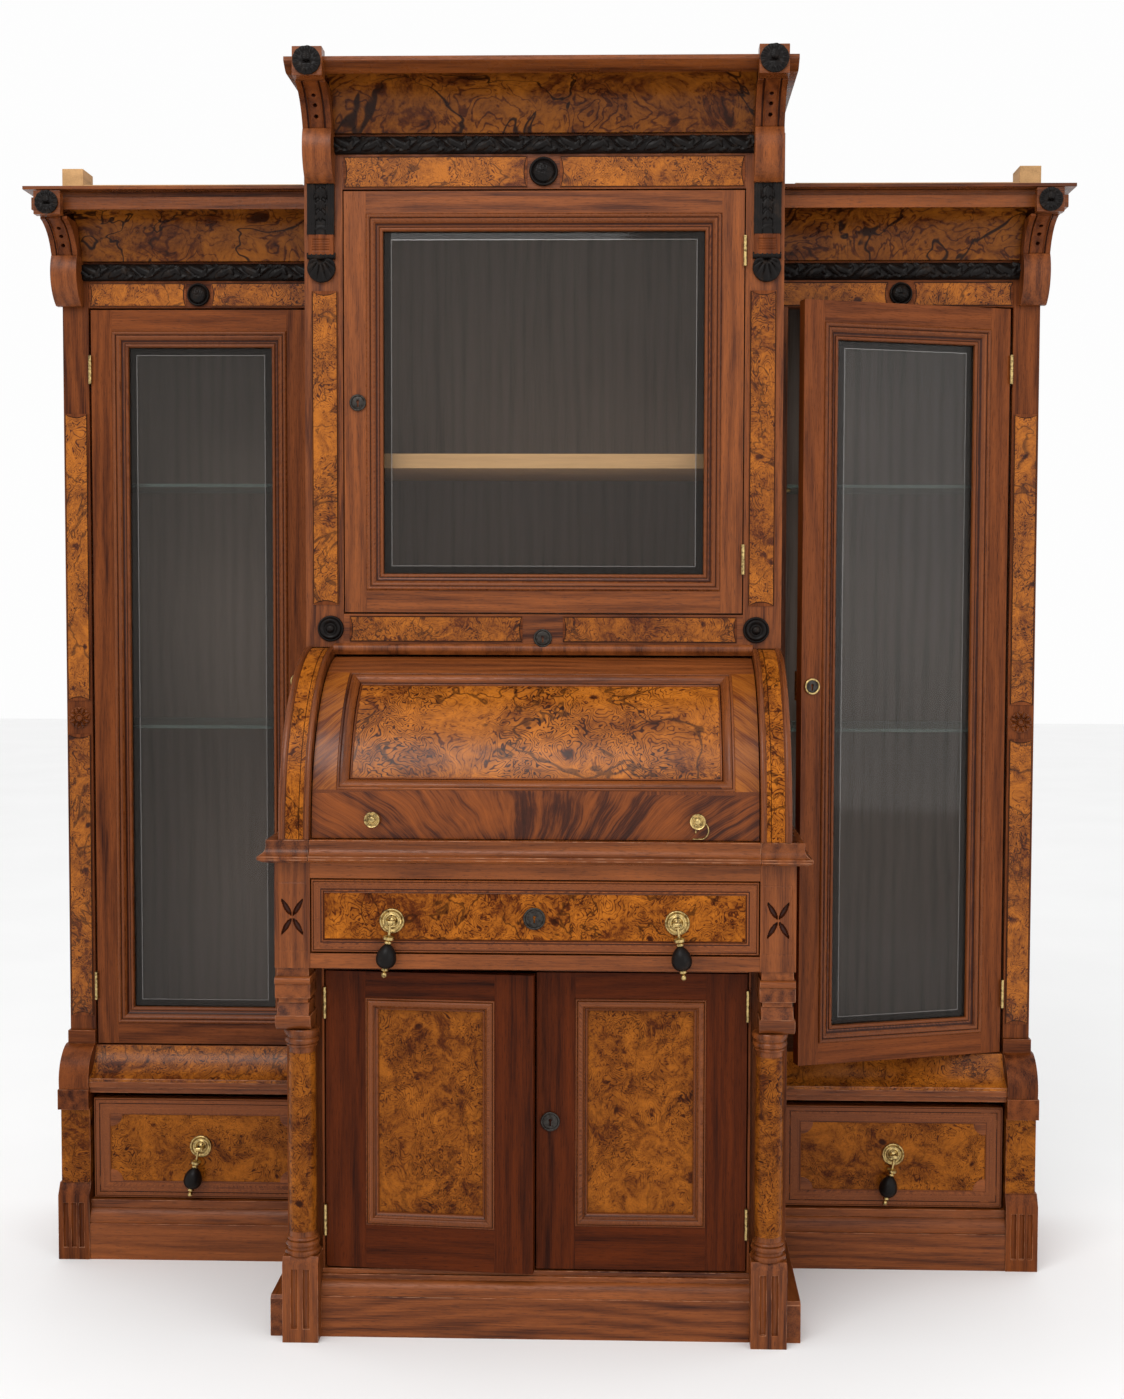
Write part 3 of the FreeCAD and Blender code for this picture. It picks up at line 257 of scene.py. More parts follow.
def plain_wood(name, dark, light, figure=1.0, rough=0.36, worn=0.0, pores=0.55, shine=0.3):
    """Straight-grained wood: bent growth bands, long fibres, pores, and rubbed places."""
    tree, shader = new_material(name, Specular_IOR_Level=shine)
    place, tone = veneer_place(tree)
    sway = noise(tree, stretched(tree, place, (1.6, 9.0, 9.0)), 1.0, 3.0, 0.5)
    across = node(tree, "SeparateXYZ", {0: place}).outputs[1]
    bands = math_node(tree, "SINE", math_node(
        tree, "ADD", times(tree, sway, 34.0 * figure), times(tree, across, 260.0)))
    fibre = noise(tree, stretched(tree, place, (14.0, 520.0, 520.0)), 1.0, 4.0, 0.62)
    streak = noise(tree, stretched(tree, place, (3.0, 60.0, 60.0)), 1.0, 3.0, 0.6, 0.3)
    # The tone darkens the colour, both with random tone and with painted shade in cuts and quirks.
    value = summed(tree, -0.02, (bands, 0.07), (fibre, 0.50), (streak, 0.55), (tone, 0.10))
    colour = ramp(tree, value, [(0.28, scaled(dark, 0.8)), (0.42, mixed(dark, light, 0.35)),
                                (0.56, mixed(dark, light, 0.68)), (0.74, light)])
    pore = noise(tree, stretched(tree, place, (60.0, 1500.0, 1500.0)), 1.0, 1.0, 0.5)
    pit = spread(tree, pore, 0.60, 0.70)
    colour = blend(tree, times(tree, pit, pores), colour, (*scaled(dark, 0.35), 1.0))
    if worn:
        rub = spread(tree, noise(tree, place, 55.0, 4.0, 0.6), 0.42, 0.62)
        pale = (*mixed(light, (0.60, 0.36, 0.22), 0.45), 1.0)
        colour = blend(tree, times(tree, rub, worn), colour, pale)
    haze = noise(tree, place, 21.0, 3.0, 0.6)
    surface(tree, shader, colour, summed(tree, rough - 0.11, (haze, 0.22)),
            math_node(tree, "SUBTRACT", fibre, pit), 0.00022, 0.5)


def burl_wood(name, gold, brown, ink=0.0, lines=9.0, cell=24.0, rough=0.30, loops=0.5,
              shine=0.3):
    """Burl veneer: patches, eyes, nested loops of fine lines and dark ink lines.

    The loops are the contours of a warped noise, so they nest round its hills.
    """
    tree, shader = new_material(name, Specular_IOR_Level=shine)
    place, tone = veneer_place(tree)
    drift = noise(tree, place, cell * 0.42, 2.0, 0.5, colour=True)
    drift = node(tree, "VectorMath", {0: drift, 1: (0.5, 0.5, 0.5)},
                 operation="SUBTRACT").outputs[0]
    warped = node(tree, "VectorMath", {0: drift, 1: (1.4 / cell,) * 3, 2: place},
                  operation="MULTIPLY_ADD").outputs[0]
    hills = noise(tree, warped, cell, 3.0, 0.55, 0.5)
    eyes = node(tree, "TexVoronoi", {"Vector": warped, "Scale": cell * 1.1, "Randomness": 1.0},
                feature="SMOOTH_F1").outputs["Distance"]
    field = summed(tree, 0.0, (hills, 1.0), (eyes, 0.45))
    wave = math_node(tree, "ABSOLUTE", math_node(
        tree, "SINE", times(tree, field, lines * math.pi)))
    where = spread(tree, noise(tree, place, cell * 0.6, 3.0), 0.38, 0.60)
    contour = times(tree, spread(tree, wave, 0.60, 0.05), summed(tree, 0.30, (where, 0.70)))
    patches = noise(tree, warped, cell * 0.36, 5.0, 0.62, 0.8)
    clouds = noise(tree, warped, cell * 1.5, 4.0, 0.62, 1.2)
    fleck = noise(tree, warped, cell * 9.0, 3.0, 0.65)
    eye = spread(tree, eyes, 0.20, 0.06)
    gate = spread(tree, noise(tree, place, cell * 0.55, 2.0), 0.46, 0.62)
    dark_eye = times(tree, eye, gate)
    value = summed(tree, -0.105, (patches, 0.52), (clouds, 0.52), (contour, -0.26 * loops),
                   (fleck, 0.24), (dark_eye, -0.34), (tone, 0.06))
    colour = ramp(tree, value, [(0.26, scaled(brown, 0.35)), (0.40, brown),
                                (0.50, mixed(brown, gold, 0.45)), (0.66, gold)])
    if ink:
        ridge = noise(tree, warped, cell * 0.30, 4.0, 0.60, 0.6)
        near = math_node(tree, "ABSOLUTE", math_node(tree, "SUBTRACT", ridge, 0.5))
        vein = spread(tree, near, 0.012, 0.003)
        colour = blend(tree, times(tree, vein, ink), colour, (*scaled(brown, 0.18), 1.0))
    surface(tree, shader, colour, summed(tree, rough - 0.10, (fleck, 0.20)), fleck, 0.00012,
            0.4)


def crotch_wood(name, gold, brown, fan, plumes=0.62, rough=0.28, shine=0.25):
    """Feathered crotch veneer: plumes that fan out from a line across the grain.

    Far from the line the plumes lean; fan is how quickly their slope grows, per metre.
    """
    tree, shader = new_material(name, Specular_IOR_Level=shine)
    place, tone = veneer_place(tree)
    parts = node(tree, "SeparateXYZ", {0: place}).outputs
    sway = noise(tree, stretched(tree, place, (7.0, 7.0, 7.0)), 1.0, 2.0, 0.5)
    lean = times(tree, times(tree, parts[0], fan), parts[1])
    spread_out = math_node(tree, "SUBTRACT", parts[0], lean)
    line = node(tree, "CombineXYZ", {0: summed(tree, spread_out, (sway, 0.05)),
                                     1: times(tree, parts[1], 0.10)}).outputs[0]
    plume = noise(tree, line, 62.0, 4.0, 0.62, 0.5)
    fine = noise(tree, line, 330.0, 3.0, 0.6)
    cloud = noise(tree, place, 8.0, 3.0, 0.6, 0.6)
    value = summed(tree, 0.14 - plumes / 2, (plume, plumes), (fine, 0.30), (cloud, 0.48),
                   (tone, 0.10))
    colour = ramp(tree, value, [(0.36, scaled(brown, 0.5)), (0.47, brown),
                                (0.56, mixed(brown, gold, 0.45)), (0.72, scaled(gold, 0.9))])
    surface(tree, shader, colour, summed(tree, rough - 0.1, (fine, 0.2)), fine, 0.00012, 0.4)


def object_place(tree):
    """Object coordinates, in metres."""
    return node(tree, "TexCoord").outputs["Object"]


def ebonized_wood(name, black):
    """Blackened wood with brown rubbed places and dust in its gloss."""
    tree, shader = new_material(name, Specular_IOR_Level=0.12)
    place = object_place(tree)
    rub = spread(tree, noise(tree, place, 60.0, 4.0, 0.65), 0.50, 0.78)
    colour = blend(tree, rub, (*black, 1.0), (0.020, 0.012, 0.008, 1.0))
    dust = noise(tree, place, 140.0, 3.0, 0.6)
    surface(tree, shader, colour, summed(tree, 0.22, (dust, 0.35)), dust, 0.0003, 0.5)


def metal(name, colour, dirt_and_shade, rough=0.28, metallic=1.0):
    """Aged metal: polished places, brown tarnish and fine scratches."""
    tree, shader = new_material(name, Metallic=metallic)
    place = object_place(tree)
    stain = spread(tree, noise(tree, place, 190.0, 4.0, 0.65), 0.40, 0.72)
    tint = blend(tree, stain, (*colour, 1.0), (*dirt_and_shade, 1.0))
    scratch = noise(tree, stretched(tree, place, (900.0, 300.0, 2600.0)), 1.0, 2.0, 0.6)
    surface(tree, shader, tint, summed(tree, rough - 0.08, (scratch, 0.26)), scratch, 0.00006,
            0.4)


def pane(name, tint, alpha, rough, shine=0.6):
    """Old window glass: a faint tint that varies slowly, and a clear gloss."""
    tree, shader = new_material(name, Alpha=alpha, IOR=1.5, Specular_IOR_Level=shine)
    place = object_place(tree)
    shade = noise(tree, place, 3.0, 2.0)
    colour = blend(tree, shade, (*scaled(tint, 0.7), 1.0), (*tint, 1.0))
    tree.links.new(colour, shader.inputs["Base Color"])
    dust = noise(tree, place, 30.0, 3.0, 0.6)
    tree.links.new(summed(tree, rough, (dust, 0.04)), shader.inputs["Roughness"])


def leather(name, colour):
    """Tooled writing leather with a pebbled grain."""
    tree, shader = new_material(name, Sheen_Weight=0.1)
    place = object_place(tree)
    cells = node(tree, "TexVoronoi", {"Vector": place, "Scale": 900.0}).outputs["Distance"]
    wear = noise(tree, place, 16.0, 4.0, 0.6)
    tint = ramp(tree, wear, [(0.3, scaled(colour, 0.6)), (0.7, colour)])
    surface(tree, shader, tint, summed(tree, 0.45, (wear, 0.2)), cells, 0.0003, 0.6)


def finish(name):
    """The named material; the first call makes them all."""
    if name not in FINISHES:
        make_finishes(bpy.context.scene.secretary_finish)
    return FINISHES[name]


def make_finishes(tint):
    """Mixes every finish from the colours in the panel."""
    dark, light = tuple(tint.walnut_dark), tuple(tint.walnut_light)
    gold, brown = tuple(tint.burl_gold), tuple(tint.burl_brown)
    raw, lining = tuple(tint.raw_wood), tuple(tint.lining)
    low_dark, low_light = tuple(tint.low_dark), tuple(tint.low_light)
    glass = tuple(tint.glass)
    plain_wood("walnut", dark, light, shine=0.22)
    plain_wood("walnut_worn", scaled(dark, 1.5), scaled(light, 1.25), worn=0.5)
    # Painted shade in part: walnut darkened part way toward the shaded copy, for the wing doors
    # and other parts in shade.
    plain_wood("walnut_mid", mixed(dark, low_dark, 0.4), mixed(light, low_light, 0.4), shine=0.12)
    # Painted shade: a darker, less glossy copy of the walnut for the desk doors in shade.
    plain_wood("walnut_low", low_dark, low_light, shine=0.08)
    plain_wood("moulding", scaled(dark, 0.9), scaled(light, 0.9), 0.4, 0.28, shine=0.22)
    plain_wood("moulding_worn", scaled(dark, 1.5), scaled(light, 1.25), 0.4, 0.3, worn=0.55)
    burl_wood("burl", scaled(gold, 0.80), brown, 0.6, 22.0, loops=1.0, shine=0.2)
    burl_wood("burl_deep", scaled(gold, 0.9), brown, 0.7, 18.0, loops=0.8, shine=0.06)
    # Painted shade: a darker, less glossy copy of the burl for the lower parts in shade.
    burl_wood("burl_low", scaled(gold, 0.66), scaled(brown, 0.8), 0.3, 24.0, loops=0.9,
              shine=0.08)
    burl_wood("burl_ink", scaled(gold, 0.46), scaled(brown, 0.6), 0.95, 9.0, 15.0, loops=0.6,
              shine=0.15)
    burl_wood("burl_panel", scaled(gold, 0.9), brown, 0.7, 24.0, 14.0, loops=1.3, shine=0.22)
    crotch_wood("crotch", (0.26, 0.062, 0.0075), (0.050, 0.0095, 0.0016), 4.2)
    crotch_wood("feather", scaled(gold, 0.80), scaled(brown, 1.2), 0.0, 0.36)
    plain_wood("line", (0.010, 0.003, 0.001), (0.030, 0.008, 0.002), shine=0.1)
    ebonized_wood("ebonized", tuple(tint.ebony))
    metal("brass", tuple(tint.brass), (0.10, 0.065, 0.03))
    metal("iron", (0.05, 0.045, 0.04), (0.02, 0.015, 0.012), 0.42, 0.9)
    plain_wood("raw_wood", scaled(raw, 0.6), raw, 0.5, 0.6, pores=0.15, shine=0.1)
    plain_wood("shelf_wood", scaled(raw, 1.1), (1.0, 0.60, 0.27), 0.5, 0.6, pores=0.15,
               shine=0.1)
    plain_wood("lining", scaled(lining, 0.45), lining, 0.6, 0.55, pores=0.3, shine=0.1)
    plain_wood("inside", (0.135, 0.104, 0.084), (0.215, 0.172, 0.144), 0.4, 0.6, pores=0.0,
               shine=0.0)
    pane("glass", glass, 0.22, 0.03)
    # Painted shade: the ground bevel gets a darker, denser tint than the pane it is cut from.
    pane("glass_edge", scaled(glass, 0.25), 0.62, 0.04, 0.2)
    # Painted highlight: the narrow arris inside the bevel gets a light, dense tint.
    pane("glass_line", (0.16, 0.15, 0.14), 0.75, 0.04)
    pane("shelf_glass", (0.20, 0.30, 0.26), 0.45, 0.04)
    leather("leather", (0.035, 0.055, 0.03))


# -------------------------------------------------------------------- meshes
def grid_faces(rows, columns, wrap_rows=False, wrap_columns=False):
    """Four-sided faces of a grid of points; a wrapped direction joins its ends."""
    i, j = np.meshgrid(np.arange(rows if wrap_rows else rows - 1),
                       np.arange(columns if wrap_columns else columns - 1), indexing="ij")
    down, right = (i + 1) % rows, (j + 1) % columns
    corners = [i * columns + j, i * columns + right, down * columns + right, down * columns + j]
    return np.stack(corners, -1).reshape(-1, 4)


def part(points, faces, grain=None, tone=0.0, which=0):
    """One closed surface of a piece: its points, lists of faces, grain, tone with painted shade,
    finish.
    """
    points = np.asarray(points, float).reshape(-1, 3)
    grain = points if grain is None else np.asarray(grain, float).reshape(-1, 3)
    tone = np.broadcast_to(np.asarray(tone, float).ravel(), len(points))
    return {"points": points, "faces": faces, "grain": grain, "tone": tone, "which": which}


def rim_of(rows, columns):
    """Numbers of the points round the border of a grid, in order."""
    ids = np.arange(rows * columns).reshape(rows, columns)
    return np.concatenate([ids[0, :-1], ids[:-1, -1], ids[-1, :0:-1], ids[:0:-1, 0]])


def shell(front, back, **facts):
    """Closed solid between two grids of points with the same corners."""
    rows, columns = front.shape[:2]
    count = rows * columns
    faces = grid_faces(rows, columns)
    rim = rim_of(rows, columns)
    ahead = np.roll(rim, -1)
    sides = np.stack([rim, rim + count, ahead + count, ahead], -1)
    points = np.concatenate([front.reshape(-1, 3), back.reshape(-1, 3)])
    return part(points, [faces, faces[:, ::-1] + count, sides], **facts)


def capped(points, grid, rim, back, **facts):
    """A raised sheet closed by walls down to the plane y = back and a flat cap behind."""
    tail = np.arange(len(rim)) + len(points)
    sides = np.stack([rim, tail, np.roll(tail, -1), np.roll(rim, -1)], -1)
    behind = points[rim] * (1, 0, 1) + (0, back, 0)
    return part(np.concatenate([points, behind]), [grid, sides, tail[None, :]], **facts)


def carved(us, vs, place, height, back, **facts):
    """Closed solid whose front is a sheet raised by height(u, v) along its normal.

    place(u, v) gives the sheet's x, y and z; its rim is carried back to the plane y = back.
    What lies more than a millimetre under the sheet is darkened with painted shade, as a cut in
    shadow.
    """
    u, v = np.meshgrid(us, vs, indexing="ij")
    base = np.stack(np.broadcast_arrays(*place(u, v)), -1).astype(float)
    normal = np.cross(np.gradient(base, axis=0), np.gradient(base, axis=1))
    normal /= np.maximum(np.linalg.norm(normal, axis=-1, keepdims=True), 1e-12)
    normal *= np.where(normal[..., 1:2] > 0, -1.0, 1.0)
    raised = height(u, v)
    points = (base + normal * raised[..., None]).reshape(-1, 3)
    rim = rim_of(*u.shape)
    # Painted shade: points sunk more than a millimetre get a darker tone.
    dark = np.r_[CUT_SHADE * np.clip((-raised.ravel() - MM) / MM, 0, 1), np.zeros(len(rim))]
    return capped(points, grid_faces(*u.shape), rim, back, tone=dark, **facts)


def disc(centre, radius, height, rings=28, steps=96, **facts):
    """Closed round solid that faces the front: height(share of the radius, angle)."""
    u, v = np.meshgrid(np.linspace(0, 1, rings),
                       np.linspace(0, 2 * math.pi, steps, endpoint=False), indexing="ij")
    x, z = centre[0] + radius * u * np.cos(v), centre[2] + radius * u * np.sin(v)
    points = np.stack([x, centre[1] - height(u, v), z], -1).reshape(-1, 3)
    rim = np.arange(steps) + (rings - 1) * steps
    return capped(points, grid_faces(rings, steps, wrap_columns=True), rim, centre[1], **facts)


def swept(profile, path, across, up, **facts):
    """A closed profile (u, w) carried along a path: point = path + u across + w up.

    Points lower than the mean of their second neighbours lie in quirks, and are darkened with
    painted shade.
    """
    profile, path = np.asarray(profile, float), np.asarray(path, float)
    across, up = np.broadcast_to(across, path.shape), np.broadcast_to(up, path.shape)
    points = (path[:, None] + profile[None, :, :1] * across[:, None]
              + profile[None, :, 1:] * up[:, None])
    rows, columns = points.shape[:2]
    ends = [np.arange(columns)[None, ::-1], np.arange(columns)[None] + (rows - 1) * columns]
    middle = points.mean(1)
    run = np.r_[0, np.cumsum(np.linalg.norm(np.diff(middle, axis=0), axis=1))]
    girth = np.r_[0, np.cumsum(np.linalg.norm(np.diff(profile, axis=0), axis=1))]
    grain = np.stack(np.broadcast_arrays(run[:, None], girth[None], 0.0), -1)
    facts.setdefault("grain", grain)
    level = profile[:, 1]
    sunk = (np.roll(level, 2) + np.roll(level, -2)) / 2 - level
    # Painted shade: points sunk in quirks get a darker tone.
    dirt_and_shade = np.clip(sunk / (0.9 * MM), 0, 1) * (level > level.min() + 1e-6)
    facts["tone"] = np.tile(facts.get("tone", 0.0) + QUIRK_SHADE * dirt_and_shade, rows)
    return part(points, [grid_faces(rows, columns, wrap_columns=True), *ends], **facts)


def lathed(profile, centre, axis, steps=64, closed=False, **facts):
    """A profile (radius, height) turned round an axis; a closed one makes a ring."""
    profile = np.asarray(profile, float)
    axis = np.asarray(axis, float) / np.linalg.norm(axis)
    side = np.cross(axis, (0.0, 0.0, 1.0) if abs(axis[2]) < 0.9 else (1.0, 0.0, 0.0))
    side /= np.linalg.norm(side)
    turn = np.linspace(0, 2 * math.pi, steps, endpoint=False)
    ring = np.cos(turn)[:, None] * side + np.sin(turn)[:, None] * np.cross(axis, side)
    points = (np.asarray(centre, float) + profile[:, None, 1:] * axis
              + profile[:, None, :1] * ring[None])
    return part(points, [grid_faces(len(profile), steps, closed, True)], **facts)


def curve(*points, steps=6):
    """Smooth line through points: a Catmull-Rom spline with repeated ends."""
    p = np.asarray(points, float)
    p = np.concatenate([2 * p[:1] - p[1:2], p, 2 * p[-1:] - p[-2:-1]])
    t = np.linspace(0, 1, steps, endpoint=False)[None, :, None]
    a, b, c, d = (p[i:len(p) - 3 + i, None] for i in range(4))
    line = 0.5 * (2 * b + (c - a) * t + (2 * a - 5 * b + 4 * c - d) * t ** 2
                  + (3 * b - a - 3 * c + d) * t ** 3)
    return np.concatenate([line.reshape(-1, p.shape[1]), p[-2:-1]])


def mesh_of(name, points, faces, which, grain, tone):
    """A smooth mesh with a finish number per face, and grain and tone per point; the tone also
    holds painted shade.
    """
    mesh = bpy.data.meshes.new(name)
    mesh.from_pydata(points.tolist(), [], faces)
    mesh.polygons.foreach_set("material_index", which)
    mesh.polygons.foreach_set("use_smooth", [True] * len(faces))
    for label, kind, channel, values in (("grain", "FLOAT_VECTOR", "vector", grain),
                                         ("tone", "FLOAT", "value", tone)):
        mesh.attributes.new(label, kind, "POINT").data.foreach_set(channel, values.ravel())
    return mesh


def reworked(mesh, change):
    """Runs a change on a mesh through a bmesh."""
    work = bmesh.new()
    work.from_mesh(mesh)
    change(work)
    work.to_mesh(mesh)
    work.free()


def welded(work):
    """Merges doubles and turns the faces outwards."""
    bmesh.ops.remove_doubles(work, verts=work.verts, dist=1e-7)
    bmesh.ops.recalc_face_normals(work, faces=work.faces)


def flattened(work):
    """Joins triangles of one plane and finish."""
    bmesh.ops.dissolve_limit(work, angle_limit=math.radians(0.5), verts=work.verts,
                             edges=work.edges, delimit={"MATERIAL"})


def piece(name, parts, finishes, body, slot=None, replaces=(), sharp=38.0):
    """Joins parts into one mesh with grain and tone, shades it and rides it on a body."""
    faces, which, start = [], [], 0
    for p in parts:
        for group in p["faces"]:
            faces += (group + start).tolist()
            which += [p["which"]] * len(group)
        start += len(p["points"])
    points, grain, tone = (np.concatenate([p[key] for p in parts])
                           for key in ("points", "grain", "tone"))
    mesh = mesh_of(name, points, faces, which, grain, tone)
    reworked(mesh, welded)
    return finished(name, mesh, finishes, body, slot, replaces, sharp)


def finished(name, mesh, finishes, body, slot, replaces, sharp, ease=0.0, worn=None):
    """Links a mesh as a piece with its finishes, eased edges, body and nodes; slot is not used."""
    mesh.set_sharp_from_angle(angle=math.radians(sharp))
    made = bpy.data.objects.new(name, mesh)
    bpy.context.scene.collection.objects.link(made)
    for label in finishes:
        mesh.materials.append(finish(label))
    if ease:
        bevel = made.modifiers.new("eased", "BEVEL")
        bevel.width = ease
        bevel.segments = 2
        bevel.limit_method = "ANGLE"
        bevel.angle_limit = math.radians(35)
        bevel.harden_normals = True
        bevel.use_clamp_overlap = True
        if worn is not None:
            bevel.material = worn
    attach(made, body)
    if replaces:
        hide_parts(*replaces)
    return made


def seeded(*names):
    """Random numbers that depend only on the names."""
    return np.random.default_rng([ord(letter) for name in names for letter in str(name)])


def numbered(start, stop):
    """Rank of each element inside its run of equal keys, given the runs' starts."""
    return np.arange(stop) - np.maximum.accumulate(np.where(start, np.arange(stop), 0))


def solids_of(name):
    """Welded points, triangles and solid number of each triangle of a CAD node.

    Half-edges with the same ends are paired by rank, because a solid's triangles
    follow one another; the pairs join triangles until the labels settle.
    """
    mesh = frame["nodes"][name].data
    points = np.empty(len(mesh.vertices) * 3, np.float32)
    mesh.vertices.foreach_get("co", points)
    points = points.reshape(-1, 3)
    mesh.calc_loop_triangles()
    triangles = np.empty(len(mesh.loop_triangles) * 3, np.int32)
    mesh.loop_triangles.foreach_get("vertices", triangles)
    triangles = triangles.reshape(-1, 3)
    _, weld = np.unique(np.round(points * 1e6).astype(np.int64), axis=0, return_inverse=True)
    corner = weld.ravel()[triangles]
    a, b = corner.ravel(), np.roll(corner, -1, axis=1).ravel()
    owner = np.repeat(np.arange(len(triangles)), 3)
    key = np.minimum(a, b) * np.int64(corner.max() + 1) + np.maximum(a, b)
    back = (a > b).astype(int)
    order = np.lexsort((owner, back, key))
    run = key[order] * 2 + back[order]
    rank = np.empty(len(run), np.int64)
    rank[order] = numbered(np.r_[True, run[1:] != run[:-1]], len(run))
    order = np.lexsort((back, rank, key))
    p, q = order[:-1], order[1:]
    twin = (key[p] == key[q]) & (rank[p] == rank[q]) & (back[p] != back[q])
    first, second = owner[p[twin]], owner[q[twin]]
    label = np.arange(len(triangles))
    settled = False
    while not settled:
        least = np.minimum(label[first], label[second])
        new = label.copy()
        np.minimum.at(new, first, least)
        np.minimum.at(new, second, least)
        new = new[new]
        settled = bool((new == label).all())
        label = new
    _, label = np.unique(label, return_inverse=True)
    label = label.ravel()
    pairs, index = np.unique(label.repeat(3) * np.int64(corner.max() + 1) + corner.ravel(),
                             return_inverse=True)
    place = np.empty((len(pairs), 3))
    place[index.ravel()] = points[triangles.ravel()]
    return place, index.reshape(-1, 3), label, pairs // (corner.max() + 1)


def board_axes(points, owner):
    """Long, wide and thin direction of every solid: its axes of inertia."""
    count = owner.max() + 1
    number = np.bincount(owner, minlength=count)[:, None]
    centre = np.stack([np.bincount(owner, points[:, i], count) for i in range(3)], 1) / number
    offset = points - centre[owner]
    spread_of = np.zeros((count, 3, 3))
    np.add.at(spread_of, owner, offset[:, :, None] * offset[:, None, :])
    axes = np.linalg.eigh(spread_of)[1][:, :, ::-1]
    return centre, axes.transpose(0, 2, 1)


def worked(name, base, others=None, drop=(), ease=True, worn=None, slot=None, sharp=32.0):
    """A CAD node's boards as a piece: welded solid by solid, edges eased, grain laid.

    The grain runs along each board's longest axis, and upright in a board with oblique axes,
    such as a quadrant. others gives the finish of single solids by number, and drop leaves
    solids to other pieces.
    """
    place, triangles, label, owner = solids_of(name)
    centre, axes = board_axes(place, owner)
    random = seeded(name)
    shift = random.uniform(-2, 2, (label.max() + 1, 3))
    oblique = np.abs(axes).max(2).min(1) < 0.9
    axes[oblique] = np.eye(3)[[2, 1, 0]]
    grain = np.einsum("nij,nj->ni", axes[owner], place - centre[owner]) + shift[owner]
    tones = random.uniform(-0.7, 0.7, label.max() + 1)[owner]
    keep = ~np.isin(label, list(drop))
    labels = [base] + sorted(set((others or {}).values()))
    lookup = np.zeros(label.max() + 1, int)
    for solid, wanted in (others or {}).items():
        lookup[solid] = labels.index(wanted)
    if worn:
        labels.append(worn)
    used, faces = np.unique(triangles[keep], return_inverse=True)
    mesh = mesh_of(name + "_worked", place[used], faces.reshape(-1, 3).tolist(),
                   lookup[label[keep]], grain[used], tones[used])
    reworked(mesh, flattened)
    width = bpy.context.scene.secretary_work.ease if ease else 0.0
    return finished(name + "_worked", mesh, labels, body_named(name), slot, (name,), sharp,
                    width, len(labels) - 1 if worn else None)


def body_named(name):
    """The body that a CAD node is on."""
    return body_of(frame["nodes"][name])[0]


def box_of(name, *solids):
    """Lowest and highest corner of a CAD node, or of some of its solids, in metres."""
    place, _, _, owner = solids_of(name)
    chosen = place[np.isin(owner, solids)] if solids else place
    return chosen.min(0), chosen.max(0)


def boxes_of(name):
    """Lowest and highest corners of every solid of a CAD node."""
    place, _, _, owner = solids_of(name)
    low = np.full((owner.max() + 1, 3), np.inf)
    high = -low
    np.minimum.at(low, owner, place)
    np.maximum.at(high, owner, place)
    return np.stack([low, high], 1)


def from_shut(points, joint):
    """Points of a door drawn shut, its joint's lower end, turned to where it stands at rest."""
    found = JOINTS[joint]
    turn = Matrix.Rotation(math.radians(-found["range_deg"][0]), 3, Vector(found["axis"]))
    pivot = np.array(found["pos_m"], float)
    return (points - pivot) @ np.array(turn).T + pivot


# ----------------------------------------------------------------- mouldings
def laid_moulding(x0, x1, z0, z1, profile, place, steps=2, seed="moulding"):
    """Four mitred runs of a moulding round a rectangle, put in place by a function.

    The profile is (inward, height), and at a mitre the inward direction is the diagonal;
    place turns points (x, z, height) into the piece's own.
    """
    random = seeded(seed)
    corners = np.array([(x0, z0), (x1, z0), (x1, z1), (x0, z1)], float)
    inward = np.array([(1, 1), (-1, 1), (-1, -1), (1, -1)], float)
    t = np.linspace(0, 1, steps)[:, None]
    parts = []
    for i in range(4):
        path, lean = (np.concatenate([ends[i] * (1 - t) + ends[(i + 1) % 4] * t, t * 0], 1)
                      for ends in (corners, inward))
        made = swept(profile, path, lean, (0, 0, 1), tone=random.uniform(-0.6, 0.6))
        made["grain"] = made["grain"] + random.uniform(-2, 2, 3)
        made["points"] = place(made["points"])
        parts.append(made)
    return parts


def sash_profile(width, depth):
    """Outer bead, quirk, long ogee and inner bead of a glazed door's moulding."""
    bead = curve((0, 0.2), (0.6, 2.2), (3.2, 3.8), (5.8, 2.4), (6.6, 0.6), steps=4)
    ogee = curve((7.2, 0.4), (9.5, 1.4), (13, -0.4), (17, -4.4), (21, -6.2), steps=4)
    inner = curve((21.6, -6.6), (22.6, -5.2), (24.8, -4.8), (27, -6.2), (28, -8.6), steps=4)
    front = np.concatenate([bead, ogee, inner]) * (width / 28.0)
    return np.concatenate([front, [(width, -depth), (0, -depth)]]) * MM


def panel_profile(width, depth):
    """Raised round moulding of the cupboard doors: fillet, torus, hollow and lip."""
    front = np.concatenate([
        curve((0, 0.3), (0.4, 2.0), (2.2, 2.6), steps=3),
        curve((2.8, 2.0), (4.2, 4.2), (8.0, 5.6), (11.8, 4.2), (13.0, 1.6), steps=4),
        curve((13.6, 1.2), (16.0, -1.6), (18.6, -3.4), (20.0, -6.0), steps=4)])
    return np.concatenate([front * (width / 20.0), [(width, -depth), (0, -depth)]]) * MM


def round_seat(low, high):
    """Centre on the rear plane, and radius, of a round piece that fills a box."""
    middle = (low + high) / 2
    return (middle[0], high[1], middle[2]), (high[0] - low[0]) / 2


def flat_door(y):
    """Places (x, z, height) on a door face at a given Y."""
    def place(points):
        return np.stack([points[:, 0], y - points[:, 2], points[:, 1]], -1)
    return place


def mirrored(points):
    """The same points on the other side of the middle."""
    return points * np.array([-1.0, 1.0, 1.0])


